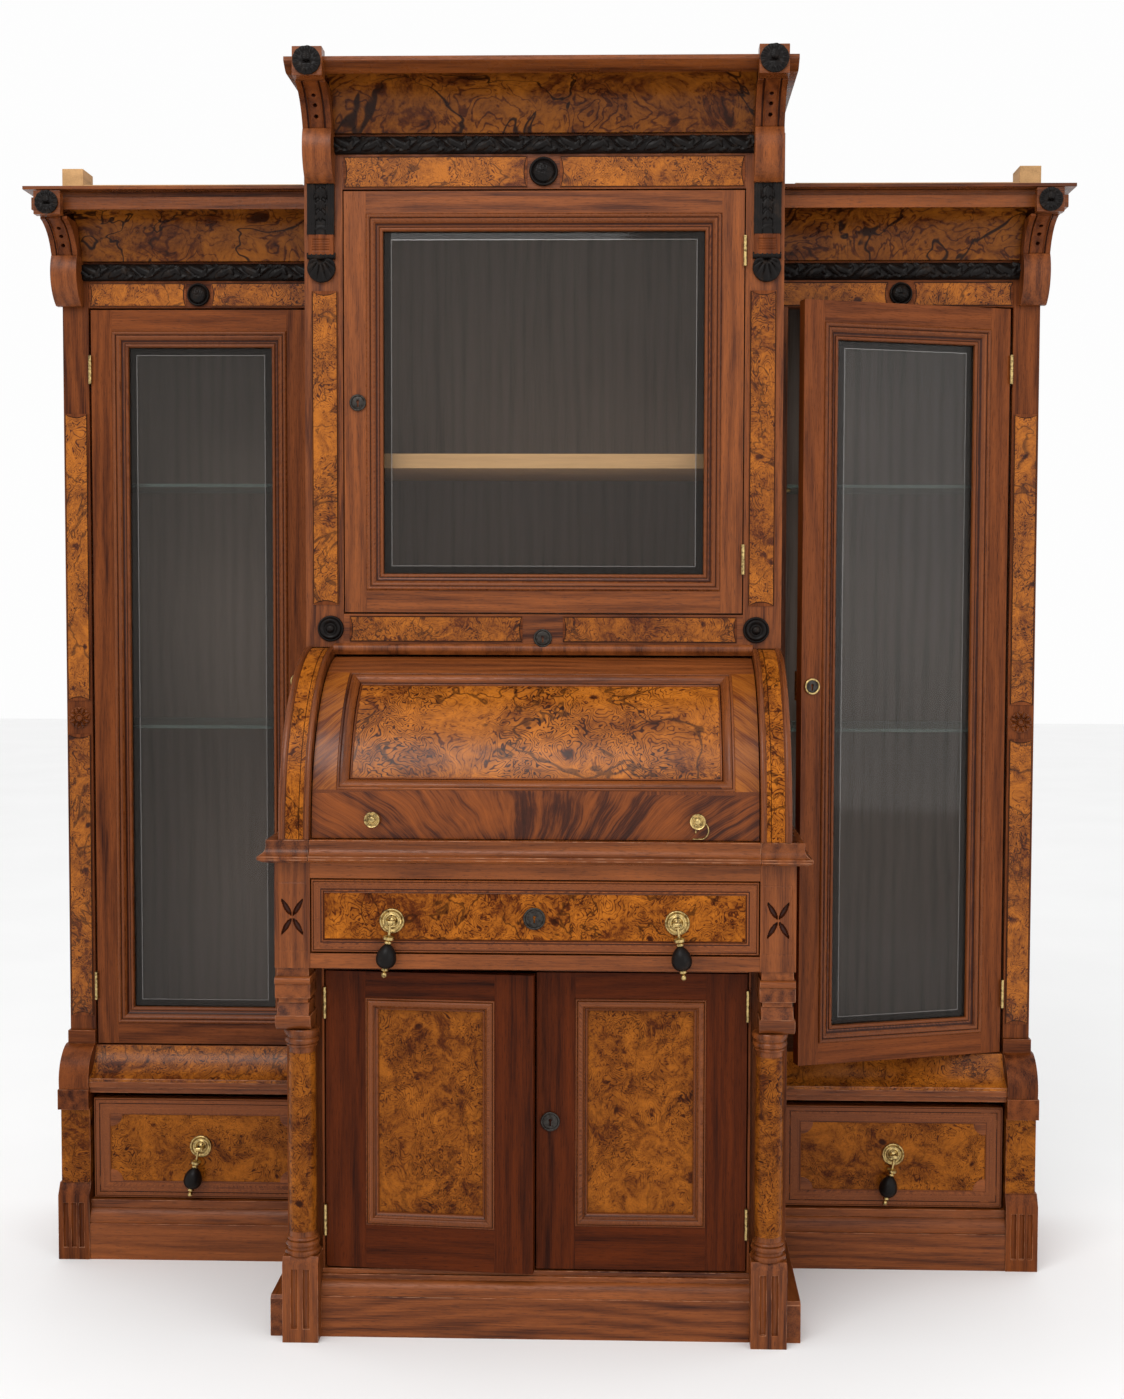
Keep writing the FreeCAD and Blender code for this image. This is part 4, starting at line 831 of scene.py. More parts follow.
GLAZED = {
    "upper_door": ("upper_door_glass", None),
    "wing_door_left": ("wing_glass_left", "wing_door_left_swing"),
    "wing_door_right": ("wing_glass_right", "wing_door_right_swing"),
}
BEAD_SOLIDS = (4, 5, 6, 7)
GLASS_REBATE = 20 * MM


def shut_boxes(name):
    """Corners of a glazed door's beads and pane when it is shut, on the right side.

    The left wing's door stands shut at rest, so both wings are drawn from it.
    """
    wing = name.startswith("wing")
    model = "wing_door_left" if wing else name
    corners = np.array([box_of(model, *BEAD_SOLIDS), box_of(GLAZED[model][0])])
    if wing:
        corners = np.sort(corners * (-1, 1, 1), axis=1)
    return *corners[0], *corners[1], box_of(model, 0)[0][1]


def settled(parts, name, joint):
    """Moves parts drawn shut on the right side to where the door stands."""
    for p in parts:
        if name.endswith("_left"):
            p["points"] = mirrored(p["points"])
        if joint:
            p["points"] = from_shut(p["points"], joint)
    return parts


def bevelled_pane(low, high, bevel):
    """A pane whose front slopes to a thin edge along a ground bevel, with an arris painted bright
    as a highlight.

    Rings are counted inwards from the border: 0 the bevel, 1 the arris, 2 the clear field.
    """
    arris = 1.5 * MM

    def lines(a, b):
        return np.array([a, a + bevel - arris, a + bevel, b - bevel, b - bevel + arris, b])

    def rings(count):
        rank = np.minimum(np.arange(count), np.arange(count)[::-1])
        return np.minimum(rank[:, None], rank[None])

    x, z = np.meshgrid(lines(low[0], high[0]), lines(low[2], high[2]), indexing="ij")
    slope = np.array([1.0, arris / bevel, 0.0])[rings(6)]
    front = np.stack([x, low[1] + 0.55 * (high[1] - low[1]) * slope, z], -1)
    back = np.stack([x, np.full(x.shape, high[1]), z], -1)
    made = shell(front, back)
    ring = rings(5).ravel()
    field, *rest = made["faces"]
    return [dict(made, faces=[field[ring == 2], *rest], which=0),
            dict(made, faces=[field[ring == 0]], which=1),
            dict(made, faces=[field[ring == 1]], which=2)]


class SECRETARY_OT_glazed_doors(Operator):
    """Glazed doors: eased frames, moulded beads and bevelled panes"""

    bl_idname = "secretary.glazed_doors"
    bl_label = "Glazed doors"

    def execute(self, context):
        bevel = context.scene.secretary_work.glass_bevel
        for name, (glass, joint) in GLAZED.items():
            low, high, pane_low, pane_high, face = shut_boxes(name)
            others = {8: "iron", **dict.fromkeys(range(9, 14), "brass")}
            base = "walnut_mid" if joint else "walnut"
            worked(name, base, others, drop=BEAD_SOLIDS, slot="walnut")
            body = body_named(name)
            parts = laid_moulding(low[0], high[0], low[2], high[2], sash_profile(28.0, 10.6),
                                  flat_door(face), seed=name)
            piece(name + "_moulding", settled(parts, name, joint), ["moulding"], body, "walnut")
            inset = np.array([GLASS_REBATE, 0, GLASS_REBATE])
            parts = bevelled_pane(pane_low + inset, pane_high - inset, bevel)
            piece(glass + "_bevelled", settled(parts, name, joint),
                  ["glass", "glass_edge", "glass_line"], body, "glass", (glass,), sharp=1.0)
        return {"FINISHED"}


class SECRETARY_OT_cupboard_doors(Operator):
    """Panelled doors of the desk with their raised mouldings"""

    bl_idname = "secretary.cupboard_doors"
    bl_label = "Cupboard doors"

    def execute(self, context):
        low, high = box_of("lower_door_right", *BEAD_SOLIDS)
        face = box_of("lower_door_right", 0)[0][1]
        for name, locks, joint in (
                ("lower_door_right", {13: "iron", 14: "brass"}, None),
                ("lower_door_left", {}, "lower_door_left_swing")):
            others = {8: "burl_low", **dict.fromkeys(range(9, 13), "brass"), **locks}
            worked(name, "walnut_low", others, drop=BEAD_SOLIDS, slot="walnut")
            parts = laid_moulding(low[0], high[0], low[2], high[2], panel_profile(20.0, 8.0),
                                  flat_door(face), seed=name)
            piece(name + "_moulding", settled(parts, name, joint), ["moulding"], name, "walnut")
        return {"FINISHED"}


# ----------------------------------------------------------- plain joinery
JOINERY = (
    ("desk_carcass", "walnut_mid", {"others": {11: "inside"}, "slot": "secondary_wood"}),
    ("desk_plinth", "walnut", {"worn": "walnut_worn", "slot": "walnut"}),
    ("desk_feet", "walnut", {"worn": "walnut_worn", "slot": "walnut"}),
    ("desk_capitals", "walnut", {"worn": "walnut_worn", "slot": "walnut"}),
    ("desk_rails", "walnut", {"slot": "walnut"}),
    ("desk_ledge", "moulding", {"worn": "moulding_worn", "slot": "walnut"}),
    ("desk_drawer_box", "lining", {"slot": "light_wood"}),
    ("cylinder_cheeks", "walnut", {"slot": "walnut"}),
    ("cylinder_arms", "lining", {"slot": "secondary_wood"}),
    ("pigeonhole_case", "lining", {"slot": "light_wood"}),
    ("gallery_drawer_left", "lining", {"others": {5: "brass"}, "slot": "light_wood"}),
    ("gallery_drawer_right", "lining", {"others": {5: "brass"}, "slot": "light_wood"}),
    ("writing_slide", "moulding", {"worn": "moulding_worn", "slot": "walnut"}),
    ("upper_carcass", "walnut", {"others": {4: "inside"}, "slot": "secondary_wood"}),
    ("upper_shelf", "shelf_wood", {"slot": "raw_wood"}),
    ("upper_face_frame", "walnut", {"slot": "walnut"}),
    ("upper_cornice", "moulding", {"others": {0: "burl_ink"}, "slot": "walnut"}),
    ("wing_carcass_left", "walnut", {"others": {6: "inside"}, "slot": "secondary_wood"}),
    ("wing_carcass_right", "walnut", {"others": {6: "inside"}, "slot": "secondary_wood"}),
    ("wing_pilasters", "walnut_mid", {"slot": "walnut"}),
    ("wing_cornices", "moulding", {"others": {0: "burl_ink", 5: "burl_ink"}, "slot": "walnut"}),
    ("wing_corner_posts", "raw_wood", {"slot": "raw_wood"}),
    ("wing_bases", "walnut", {"others": {0: "burl", 7: "burl"}, "worn": "walnut_worn",
                              "slot": "walnut"}),
    ("wing_feet", "walnut_mid", {"others": {1: "burl_low", 6: "burl_low"},
                                 "worn": "walnut_worn", "slot": "walnut"}),
)


class SECRETARY_OT_joinery(Operator):
    """Boards, mouldings and veneers that keep their drawn shape, with eased edges"""

    bl_idname = "secretary.joinery"
    bl_label = "Joinery"

    def execute(self, context):
        for name, base, options in JOINERY:
            worked(name, base, **options)
        return {"FINISHED"}


FITTINGS = {
    "shelf_pins": "brass", "hinge_leaves": "brass", "cylinder_pivots": "iron",
    "cylinder_lock": "iron", "wing_shelves": "shelf_glass", "writing_leather": "leather",
    "knob_hook": "brass",
}


class SECRETARY_OT_fittings(Operator):
    """Metal, glass and leather nodes that keep their meshes"""

    bl_idname = "secretary.fittings"
    bl_label = "Fittings"

    def execute(self, context):
        for name, label in FITTINGS.items():
            slots = frame["nodes"][name].data.materials
            slots.clear()
            slots.append(finish(label))
        return {"FINISHED"}


def hollow_ended(low, high, inset, sag):
    """Outline (x, z) of an upright box whose two short ends are hollowed by shallow arcs."""
    t = np.linspace(0, 1, 13)
    tall = high[2] - low[2] > high[0] - low[0]
    long, wide = (2, 0) if tall else (0, 2)
    side = low[wide] + inset + t * (high[wide] - low[wide] - 2 * inset)
    bend = sag * (1 - (2 * t - 1) ** 2)
    first = np.stack([side, low[long] + inset + bend], -1)
    last = np.stack([side, high[long] - inset - bend], -1)[::-1]
    line = np.concatenate([first, last])
    return line if tall else line[:, ::-1]


def plate_of(outline, front, back, **facts):
    """Closed flat board: an outline (x, z) between two depths."""
    count = len(outline)
    points = np.concatenate([np.insert(outline, 1, y, axis=1) for y in (front, back)])
    ids = np.arange(count)
    sides = np.stack([ids, ids + count, np.roll(ids, -1) + count, np.roll(ids, -1)], -1)
    return part(points, [ids[None], ids[None, ::-1] + count, sides], **facts)


class SECRETARY_OT_strips(Operator):
    """Burl panels with hollowed ends inside a dark line, on pilasters and friezes"""

    bl_idname = "secretary.strips"
    bl_label = "Burl strips"

    def execute(self, context):
        parts = []
        for i, (low, high) in enumerate(boxes_of("burl_strips")):
            random = seeded("strip", i)
            tall = high[2] - low[2] > high[0] - low[0]
            depth = high[1] - low[1]
            sag = (0.13 if tall else 0.08) * min(high[0] - low[0], high[2] - low[2])
            shift = random.uniform(-2, 2, 3)
            for which, (inset, share, bend) in enumerate((
                    (0.0, 0.45, 0.0), (0.8 * MM, 0.30, sag), (2.3 * MM, 0.0, sag))):
                made = plate_of(hollow_ended(low, high, inset, bend), low[1] + share * depth,
                                high[1], which=which, tone=random.uniform(-0.6, 0.6))
                order = (2, 0, 1) if tall else (0, 2, 1)
                made["grain"] = made["points"][:, order] + shift
                parts.append(made)
        piece("burl_panels", parts, ["walnut_mid", "line", "burl"], "case", "burl",
              ("burl_strips",))
        return {"FINISHED"}


# ------------------------------------------------------------------ cylinder
PIVOT = JOINTS["cylinder_roll"]["pos_m"]
FRONT, RAIL, HEAD, TAIL = (math.radians(angle) for angle in (-1.59, 14.5, 65.0, 88.0))
DRUM = 0.271
BACK = 0.020
RECESS = 0.012


def on_drum(points):
    """Places (x, arc length, height) on the cylinder's surface."""
    angle, radius = points[..., 1] / DRUM, DRUM + points[..., 2]
    return np.stack([points[..., 0], PIVOT[1] - radius * np.cos(angle),
                     PIVOT[2] + radius * np.sin(angle)], -1)


def drum_sheet(x0, x1, low, high, outer, inner, which, shift, upright=False):
    """Closed curved board between two angles; its grain is flattened out."""
    x, arc = np.meshgrid(np.linspace(x0, x1, 5),
                         np.linspace(low * DRUM, high * DRUM, 3 + int((high - low) * 40)),
                         indexing="ij")
    flat = [np.stack([x, arc, np.full(x.shape, h)], -1) for h in (outer, inner)]
    grain = np.concatenate(flat).reshape(-1, 3)
    if upright:
        grain = grain[:, (1, 0, 2)]
    return shell(*(on_drum(sheet) for sheet in flat), grain=grain + shift, which=which)


def drum_moulding_profile():
    """Small bead, hollow and big round that falls to the sunk panel."""
    front = np.concatenate([
        curve((0, -0.4), (1.2, 0.7), (3.4, 0.6), (4.6, -0.8), steps=4),
        curve((5.2, -0.4), (8.5, -0.2), (13, -2.0), (17, -5.8), (19.4, -10.2), steps=5),
        curve((19.8, -9.8), (21.2, -9.2), (22.6, -10.2), (23.0, -12.0), steps=3)])
    return np.concatenate([front, [(23.0, -14.0), (0, -14.0)]]) * MM


class SECRETARY_OT_cylinder(Operator):
    """Veneered cylinder: crotch rail, feathered stiles, burl panel and its moulding"""

    bl_idname = "secretary.cylinder"
    bl_label = "Cylinder"

    def execute(self, context):
        low, high = box_of("cylinder_panel")
        edge = high[0]
        frame_low, frame_high = box_of("cylinder_moulding")
        frame_half = frame_high[0]
        width = 23.0 * MM
        parts = [drum_sheet(-edge, edge, FRONT, RAIL, 0, -BACK, 0, (0, 0, 0)),
                 drum_sheet(-edge, edge, HEAD, TAIL, 0, -BACK, 1, (3, 1, 0))]
        for side in (-1, 1):
            ends = sorted((side * frame_half, side * edge))
            sheet = drum_sheet(*ends, RAIL, HEAD, 0, -BACK, 2, (side * 2, 5, 0), True)
            across = sheet["grain"][:, 1] - 5
            sheet["grain"][:, 0] += side * across * 0.9
            parts.append(sheet)
        inside = frame_half - width + 4 * MM
        gap = width - 4 * MM
        parts.append(drum_sheet(-inside, inside, RAIL + gap / DRUM, HEAD - gap / DRUM,
                                -RECESS, -BACK, 3, (0.4, 0.2, 0)))
        piece("cylinder_veneers", parts, ["crotch", "walnut", "feather", "burl_panel"],
              "cylinder", "burl", ("cylinder_panel",))
        parts = laid_moulding(-frame_half, frame_half, RAIL * DRUM, HEAD * DRUM,
                              drum_moulding_profile(), on_drum, 40, "drum")
        piece("cylinder_panel_moulding", parts, ["moulding"], "cylinder", "walnut",
              ("cylinder_moulding",))
        return {"FINISHED"}


class SECRETARY_OT_cheek_bands(Operator):
    """Beaded and burl-veneered faces of the quadrant cheeks"""

    bl_idname = "secretary.cheek_bands"
    bl_label = "Cheek bands"

    def execute(self, context):
        low, high = box_of("cylinder_cheeks", 0)
        radius = high[2] - PIVOT[2]
        width = high[0] - low[0]
        angle = np.linspace(math.radians(-1.6), math.radians(82.5), 60)
        path = np.stack([np.full(angle.shape, low[0]), PIVOT[1] - radius * np.cos(angle),
                         PIVOT[2] + radius * np.sin(angle)], -1)
        out = np.stack([angle * 0, -np.cos(angle), np.sin(angle)], -1)
        w = width / MM
        bead = curve((0.2, -0.5), (0.3, 1.6), (2.6, 3.0), (5.2, 3.0), (7.4, 1.4), (7.8, -0.5))
        nosing = curve((w - 10.5, -0.5), (w - 10.2, 1.4), (w - 7.5, 3.2), (w - 3.2, 3.0),
                       (w - 0.4, 0.8), (w + 0.3, -3.0))
        strip = [(9, -0.5), (9, 0.8), (15, 1.0), (15.3, 0.1), (16.0, 0.1), (16.3, 1.0),
                 (w - 11.4, 1.0), (w - 11.4, -0.5)]
        parts = []
        for side in (1, -1):
            for profile, which, tone in ((bead, 0, 0.3), ([*nosing, (w - 3, -4)], 0, 0),
                                         (strip, 1, 0)):
                made = swept(np.array(profile) * MM, path, (1, 0, 0), out, which=which,
                             tone=tone)
                made["grain"] = made["grain"] + (side, 0.3, 0)
                if side < 0:
                    made["points"] = mirrored(made["points"])
                parts.append(made)
        piece("cheek_bands", parts, ["moulding", "burl_deep"], "case", "walnut")
        return {"FINISHED"}


# ------------------------------------------------------------------- carving
def turned_height(*stations):
    """Height of a turned face from (share of the radius, millimetres) stations."""
    line = curve(*stations, steps=8)
    return lambda u, v: np.interp(u, line[:, 0], line[:, 1]) * MM


BOSS = turned_height((0, 11.6), (0.14, 11.0), (0.26, 9.0), (0.33, 6.0), (0.42, 5.4), (0.56, 7.6),
                     (0.68, 8.6), (0.77, 7.0), (0.82, 4.6), (0.88, 5.6), (0.95, 5.2), (1.0, 3.0))
DOME = turned_height((0, 11.8), (0.3, 11.2), (0.55, 9.2), (0.70, 6.6), (0.76, 4.0), (0.84, 6.4),
                     (0.91, 7.4), (0.97, 6.0), (1.0, 3.4))


def leaf(u, v, length, width):
    """Pointed leaf along u: arched body, raised rib and slanting veins, between 0 and 1."""
    t = np.clip(u / length, 0, 1)
    half = width * np.sin(math.pi * t) ** 0.8 * (1.15 - 0.4 * t) + 1e-9
    d = np.clip(np.abs(v) / half, 0, 1)
    body = np.sqrt(1 - d * d)
    rib = np.exp(-((d / 0.16) ** 2))
    veins = 0.5 + 0.5 * np.cos(2 * math.pi * (t * 6 - 0.9 * d))
    return np.where((u > 0) & (u < length), body * (0.62 + 0.20 * veins * d + 0.22 * rib), 0)


def turned_frame(x, z, x0, z0, degrees):
    """Coordinates along and across a direction from a point."""
    c, s = math.cos(math.radians(degrees)), math.sin(math.radians(degrees))
    return (x - x0) * c + (z - z0) * s, -(x - x0) * s + (z - z0) * c


def flower_height(u, v):
    """Eight hollow petals with raised rims around a ringed eye."""
    ring = np.exp(-(((u - 0.30) / 0.07) ** 2))
    turn = (v * 8 / (2 * math.pi)) % 1 * 2 - 1
    half = np.sin(math.pi * np.clip((u - 0.36) / 0.62, 0, 1)) ** 0.55 + 1e-9
    d = np.abs(turn) / half
    rim = np.exp(-(((d - 0.72) / 0.20) ** 2)) * ((u > 0.38) & (u < 0.97))
    return (3.0 + 4.6 * ring + 4.2 * rim - 1.6 * (u > 0.97)) * MM


def mask_height(u, v):
    """Rays of leaves around a pointed hood leaf."""
    x, z = u * np.cos(v), u * np.sin(v)
    rays = (0.5 + 0.5 * np.cos(13 * v)) * np.clip((u - 0.55) / 0.2, 0, 1)
    along, across = turned_frame(x, z, 0.0, -0.12, 90)
    hood = leaf(along, across, 0.85, 0.34)
    low_along, low_across = turned_frame(x, z, 0.0, -0.05, -90)
    bib = leaf(low_along, low_across, 0.72, 0.38)
    dark = np.exp(-((x / 0.34) ** 2 + ((z + 0.10) / 0.10) ** 2))
    return (2.6 + 3.0 * np.sqrt(1 - 0.9 * u * u) + 2.6 * rays + 4.2 * hood + 2.2 * bib
            - 4.4 * dark) * MM


def dome_height(u, v):
    """Turned medallion with a carved lens and leaf on its dome."""
    x, z = u * np.cos(v), u * np.sin(v)
    above, beside = turned_frame(x, z, 0.0, 0.02, 90)
    carving = 1.3 * leaf(above, beside, 0.42, 0.16)
    slit = np.exp(-((x / 0.34) ** 2 + ((z + 0.03 + 0.2 * x * x) / 0.05) ** 2))
    speckle = 0.25 * np.cos(23 * x + 9 * z) * np.cos(19 * z - 11 * x) * (u < 0.6)
    return DOME(u, v) + (carving - 1.4 * slit + speckle) * MM


def vine_height(run, girth):
    """Winding stem with a long and a short leaf in every bend, between 0 and 1.

    run is the length along the band and girth the way round it, in millimetres.
    """
    pitch = 47.0
    side = np.where(np.floor(run / pitch) % 2 == 0, 1.0, -1.0)
    c = run % pitch - pitch / 2
    stem = np.exp(-(((girth - 11.0 * np.sin(math.pi * run / pitch)) / 1.7) ** 2))
    total = stem * 0.9
    for start, foot, turn, length, width in ((-20, -13, 34, 42, 8.5), (2, 12, -58, 24, 5.5),
                                             (-21, 15, -22, 20, 5.0), (8, -15, 20, 18, 4.5)):
        angle = math.radians(turn)
        du, dv = c - start, girth * side - foot
        total = np.maximum(total, leaf(du * math.cos(angle) + dv * math.sin(angle),
                                       -du * math.sin(angle) + dv * math.cos(angle),
                                       length, width))
    return total


def vine_band(low, high, depth):
    """One carved half round between two corners of its box."""
    middle, rise, sag = (low[2] + high[2]) / 2, (high[2] - low[2]) / 2, high[1] - low[1]
    radius = (rise * rise + sag * sag) / (2 * sag)
    swing = math.asin(rise / radius)

    def place(u, v):
        return u, high[1] - sag + radius - radius * np.cos(v), middle + radius * np.sin(v)

    def height(u, v):
        return (vine_height(u / MM + 400, v * radius / MM) * 1.2 - 0.7) * depth

    count = int((high[0] - low[0]) / (1.5 * MM))
    return carved(np.linspace(low[0], high[0], count), np.linspace(-swing, swing, 30), place,
                  height, high[1])


def flat_carving(x0, x1, z0, z1, y, height, step=1.0, back=None, **facts):
    """A carved upright rectangle that stands on the plane y."""
    us, vs = (np.linspace(a, b, 2 + int((b - a) / (step * MM))) for a, b in ((x0, x1), (z0, z1)))
    return carved(us, vs, lambda u, v: (u, y, v), height, y if back is None else back, **facts)


def husk_height(x, z):
    """Reeded panel with three hanging husks over an arched foot; millimetres in and out."""
    reeds = 0.55 * np.cos(2 * math.pi * np.abs(x) / 4.4) * (np.abs(x) > 8.5)
    trough = -1.6 * (np.abs(x) < 8.0)
    total = 0 * x
    for top, size in ((80, 24), (59, 20), (40, 18)):
        for lean in (-24, 0, 24):
            along, across = turned_frame(x, z, 0.0, top, -90 + lean)
            total = np.maximum(total, leaf(along, across, size, size * 0.24))
    foot = (z < 17) * (2.2 + 1.2 * np.exp(-(((np.hypot(x, z - 3) - 9.5) / 1.6) ** 2)))
    return 7.5 + reeds + trough + 4.2 * total * (z > 17) + foot


def shell_height(u, v):
    """Scallop whose ribs spread down from a dark eye near its top."""
    x, z = u * np.cos(v), u * np.sin(v)
    angle = np.arctan2(x, 0.72 - z)
    far = np.hypot(x, 0.72 - z)
    ribs = np.abs(np.cos(angle * 7.2)) ** 0.7 * np.clip((far - 0.30) / 0.3, 0, 1)
    eye = np.exp(-((far / 0.26) ** 4))
    return (2.0 + 6.5 * np.sqrt(1 - 0.92 * u * u) + 3.4 * ribs - 6.5 * eye) * MM


def cross_height(x, z):
    """Four sunk pointed leaves in a cross, with a small sunk eye, in millimetres."""
    total = 0 * x
    for turn in (59, 121, -59, -121):
        along, across = turned_frame(x, z, 0.0, 0.0, turn)
        total = np.maximum(total, leaf(along - 2.5, across, 31.0, 3.9) ** 0.5)
    line = np.exp(-(((np.maximum(np.abs(x) - 22, np.abs(z) - 54)) / 0.7) ** 2))
    return -6.0 * total - 0.9 * line


class SECRETARY_OT_carving(Operator):
    """Ebonized leaf bands, masks, husk drops and shells, and the cut corner blocks"""

    bl_idname = "secretary.carving"
    bl_label = "Carving"

    def execute(self, context):
        depth = context.scene.secretary_work.carving
        bands = [vine_band(low, high, depth) for low, high in boxes_of("carved_bands")]
        piece("vine_bands", bands, ["ebonized"], "case", "ebonized", ("carved_bands",), sharp=60)
        boxes = boxes_of("bracket_carvings")
        black = []
        for i in (0, 3, 4, 7):
            low, high = boxes[i]
            middle = (low + high) / 2
            radius = min(high[0] - low[0], high[2] - low[2]) / 2 * 0.98
            black.append(disc((middle[0], low[1] + 0.5 * MM, middle[2]), radius, mask_height,
                              36, 120))
        for i in (1, 5):
            low, high = boxes[i]
            middle = (low[0] + high[0]) / 2

            def husk(u, v):
                return husk_height((u - middle) / MM, (v - low[2]) / MM) * MM

            black.append(flat_carving(low[0], high[0], low[2], high[2], high[1], husk, 0.8))
        for i in (2, 6):
            low, high = boxes[i]
            middle = (low[0] + high[0]) / 2
            radius = 23.5 * MM
            black.append(disc((middle, high[1], low[2] + radius), radius, shell_height, 30, 120))
            bar = 5.5 * MM

            def beads(u, v):
                along = (u - middle) / radius
                return (8.0 + 1.6 * np.cos(along * math.pi * 3) ** 2
                        - 3.0 * ((v - high[2]) / bar) ** 2) * MM

            black.append(flat_carving(middle - radius, middle + radius, high[2] - bar,
                                      high[2] + bar * 0.8, high[1], beads, 0.8))
        piece("bracket_leafwork", black, ["ebonized"], "case", "ebonized", sharp=60)
        worked("bracket_carvings", "moulding", drop=(1, 2, 5, 6), slot="ebonized")
        blocks = []
        for low, high in boxes_of("desk_corner_blocks"):
            middle = (low[0] + high[0]) / 2
            centre = low[2] + 81 * MM

            def cross(u, v):
                return cross_height((u - middle) / MM, (v - centre) / MM) * MM

            made = flat_carving(low[0], high[0], low[2], high[2], low[1], cross, 1.2, high[1])
            made["grain"] = made["points"][:, (2, 0, 1)] + (middle * 7, 0, 0)
            blocks.append(made)
        piece("cut_corner_blocks", blocks, ["walnut"], "case", "walnut",
              ("desk_corner_blocks",), sharp=45)
        return {"FINISHED"}


class SECRETARY_OT_bosses(Operator):
    """Turned rosettes, domed medallions and carved flowers"""

    bl_idname = "secretary.bosses"
    bl_label = "Bosses"

    def execute(self, context):
        heights = {0: BOSS, 1: dome_height, 2: flower_height, 6: dome_height}
        heights.update({i + 3: heights[i] for i in (0, 1, 2)})
        parts = [disc(*round_seat(low, high), heights[i], 40, 96, which=int(i in (2, 5)))
                 for i, (low, high) in enumerate(boxes_of("applied_rosettes"))]
        piece("bosses", parts, ["ebonized", "walnut"], "case", "ebonized",
              ("applied_rosettes",), sharp=60)
        return {"FINISHED"}


class SECRETARY_OT_brackets(Operator):
    """Cornice brackets with sunk bands, bead lines and drilled holes"""

    bl_idname = "secretary.brackets"
    bl_label = "Brackets"

    def execute(self, context):
        for name, curves, fluted in (("upper_brackets", (0, 3), (2, 5)),
                                     ("wing_brackets", (0, 2), ())):
            points, _, _, owner = solids_of(name)
            parts = [self.bracket(points[owner == i]) for i in curves]
            for i in fluted:
                low, high = boxes_of(name)[i]

                def reeds(u, v):
                    inside = ((np.abs(u - (low[0] + high[0]) / 2) < 14 * MM)
                              & (v > low[2] + 5 * MM) & (v < high[2] - 7 * MM))
                    wave = np.abs(np.sin((v - low[2]) / MM * math.pi / 4.2)) ** 0.6
                    return (9.0 - inside * (1.9 - 1.7 * wave)) * MM

                parts.append(flat_carving(low[0], high[0], low[2], high[2], high[1], reeds, 0.7))
            for made in parts:
                made["grain"] = made["grain"][:, (2, 0, 1)] + (0.7, 0.2, 0)
            piece(name + "_cut", parts, ["walnut_mid"], "case", "walnut", sharp=50)
            worked(name, "walnut", drop=curves + fluted, slot="walnut")
        return {"FINISHED"}

    def bracket(self, points):
        """One hollow bracket: its drawn outline, cut with a sunk band and three holes."""
        low, high = points.min(0), points.max(0)
        line = points[(points[:, 0] < low[0] + 1e-5) & (points[:, 1] < high[1] - 1e-4)]
        line = line[np.argsort(line[:, 2])][:, 1:]
        run = np.r_[0, np.cumsum(np.linalg.norm(np.diff(line, axis=0), axis=1))]
        middle = (low[0] + high[0]) / 2

        def place(u, v):
            return u, np.interp(v, run, line[:, 0]), np.interp(v, run, line[:, 1])

        def height(u, v):
            x = np.abs(u - middle) / MM
            band = -1.6 * ((x > 12.5) & (x < 14.5)) + 1.2 * np.exp(-(((x - 11) / 0.9) ** 2))
            sunk = -0.8 * (x < 10)
            holes = sum(np.exp(-((np.hypot(u - middle, v - run[-1] * share) / MM / 2.7) ** 6))
                        for share in (0.20, 0.40, 0.60))
            return (band + sunk - 8.0 * holes) * MM

        across = np.linspace(low[0], high[0], 56)
        return carved(across, np.linspace(0, run[-1], 110), place, height, high[1])


# ------------------------------------------------------------ fronts, columns
def drawer_profile(width, depth, wide):
    """Mitred border of a drawer: bead, flat, slope and lip; wide ones have a second flat."""
    w = width / MM
    if wide:
        front = [(0, -1.2), (0.8, 0), (2.4, 0), (3.0, -0.8), (3.6, 0), (9.5, -0.1), (10.0, -1.2),
                 (10.8, -1.2), (11.2, -0.3), (w - 1.6, -0.3), (w - 0.9, 0.1), (w, -0.8)]
    else:
        front = [(0, -1.2), (0.8, 0), (2.6, 0), (3.2, -1.0), (3.9, 0), (w - 5.6, -2.4),
                 (w - 5.0, -1.4), (w - 2.6, -1.0), (w - 2.0, -2.2), (w - 0.6, -1.4), (w, -3.0)]
    front = np.array(front)
    inward = np.unique(np.r_[front[:, 0], np.arange(1.0, w, 1.0)])
    front = np.stack([inward, np.interp(inward, front[:, 0], front[:, 1])], -1)
    return np.concatenate([front, [(w, -depth / MM), (0, -depth / MM)]]) * MM


class SECRETARY_OT_drawers(Operator):
    """Drawer fronts with mitred borders, burl fields and scooped corners"""

    bl_idname = "secretary.drawers"
    bl_label = "Drawers"

    def execute(self, context):
        for name, body in (("desk_drawer_front", "desk_drawer"),
                           ("wing_drawer_left",) * 2, ("wing_drawer_right",) * 2):
            wing = name.startswith("wing")
            border = (1, 2, 4, 5)
            others = {3: "burl_low" if wing else "burl_deep"}
            if wing:
                others.update({i: "lining" for i in (6, 7, 8, 9)})
            worked(name, "walnut", others, drop=border, slot="walnut")
            low, high = box_of(name, *border)
            field_low, field_high = box_of(name, 3)
            width = field_low[0] - low[0]
            profile = drawer_profile(width, high[1] - low[1], wing)
            parts = laid_moulding(low[0], high[0], low[2], high[2], profile, flat_door(low[1]),
                                  seed=name)
            rise = field_low[1] - low[1]

            def scoop(u, v):
                return np.where(u > 0.93, rise - 0.9 * MM, rise - 0.35 * MM)

            parts += [disc((x, field_low[1], z), 21 * MM, scoop, 16, 64, tone=0.2)
                      for x in (field_low[0], field_high[0]) for z in (field_low[2], field_high[2])
                      if wing]
            piece(name + "_border", parts, ["walnut"], body, "walnut", sharp=30)
        return {"FINISHED"}


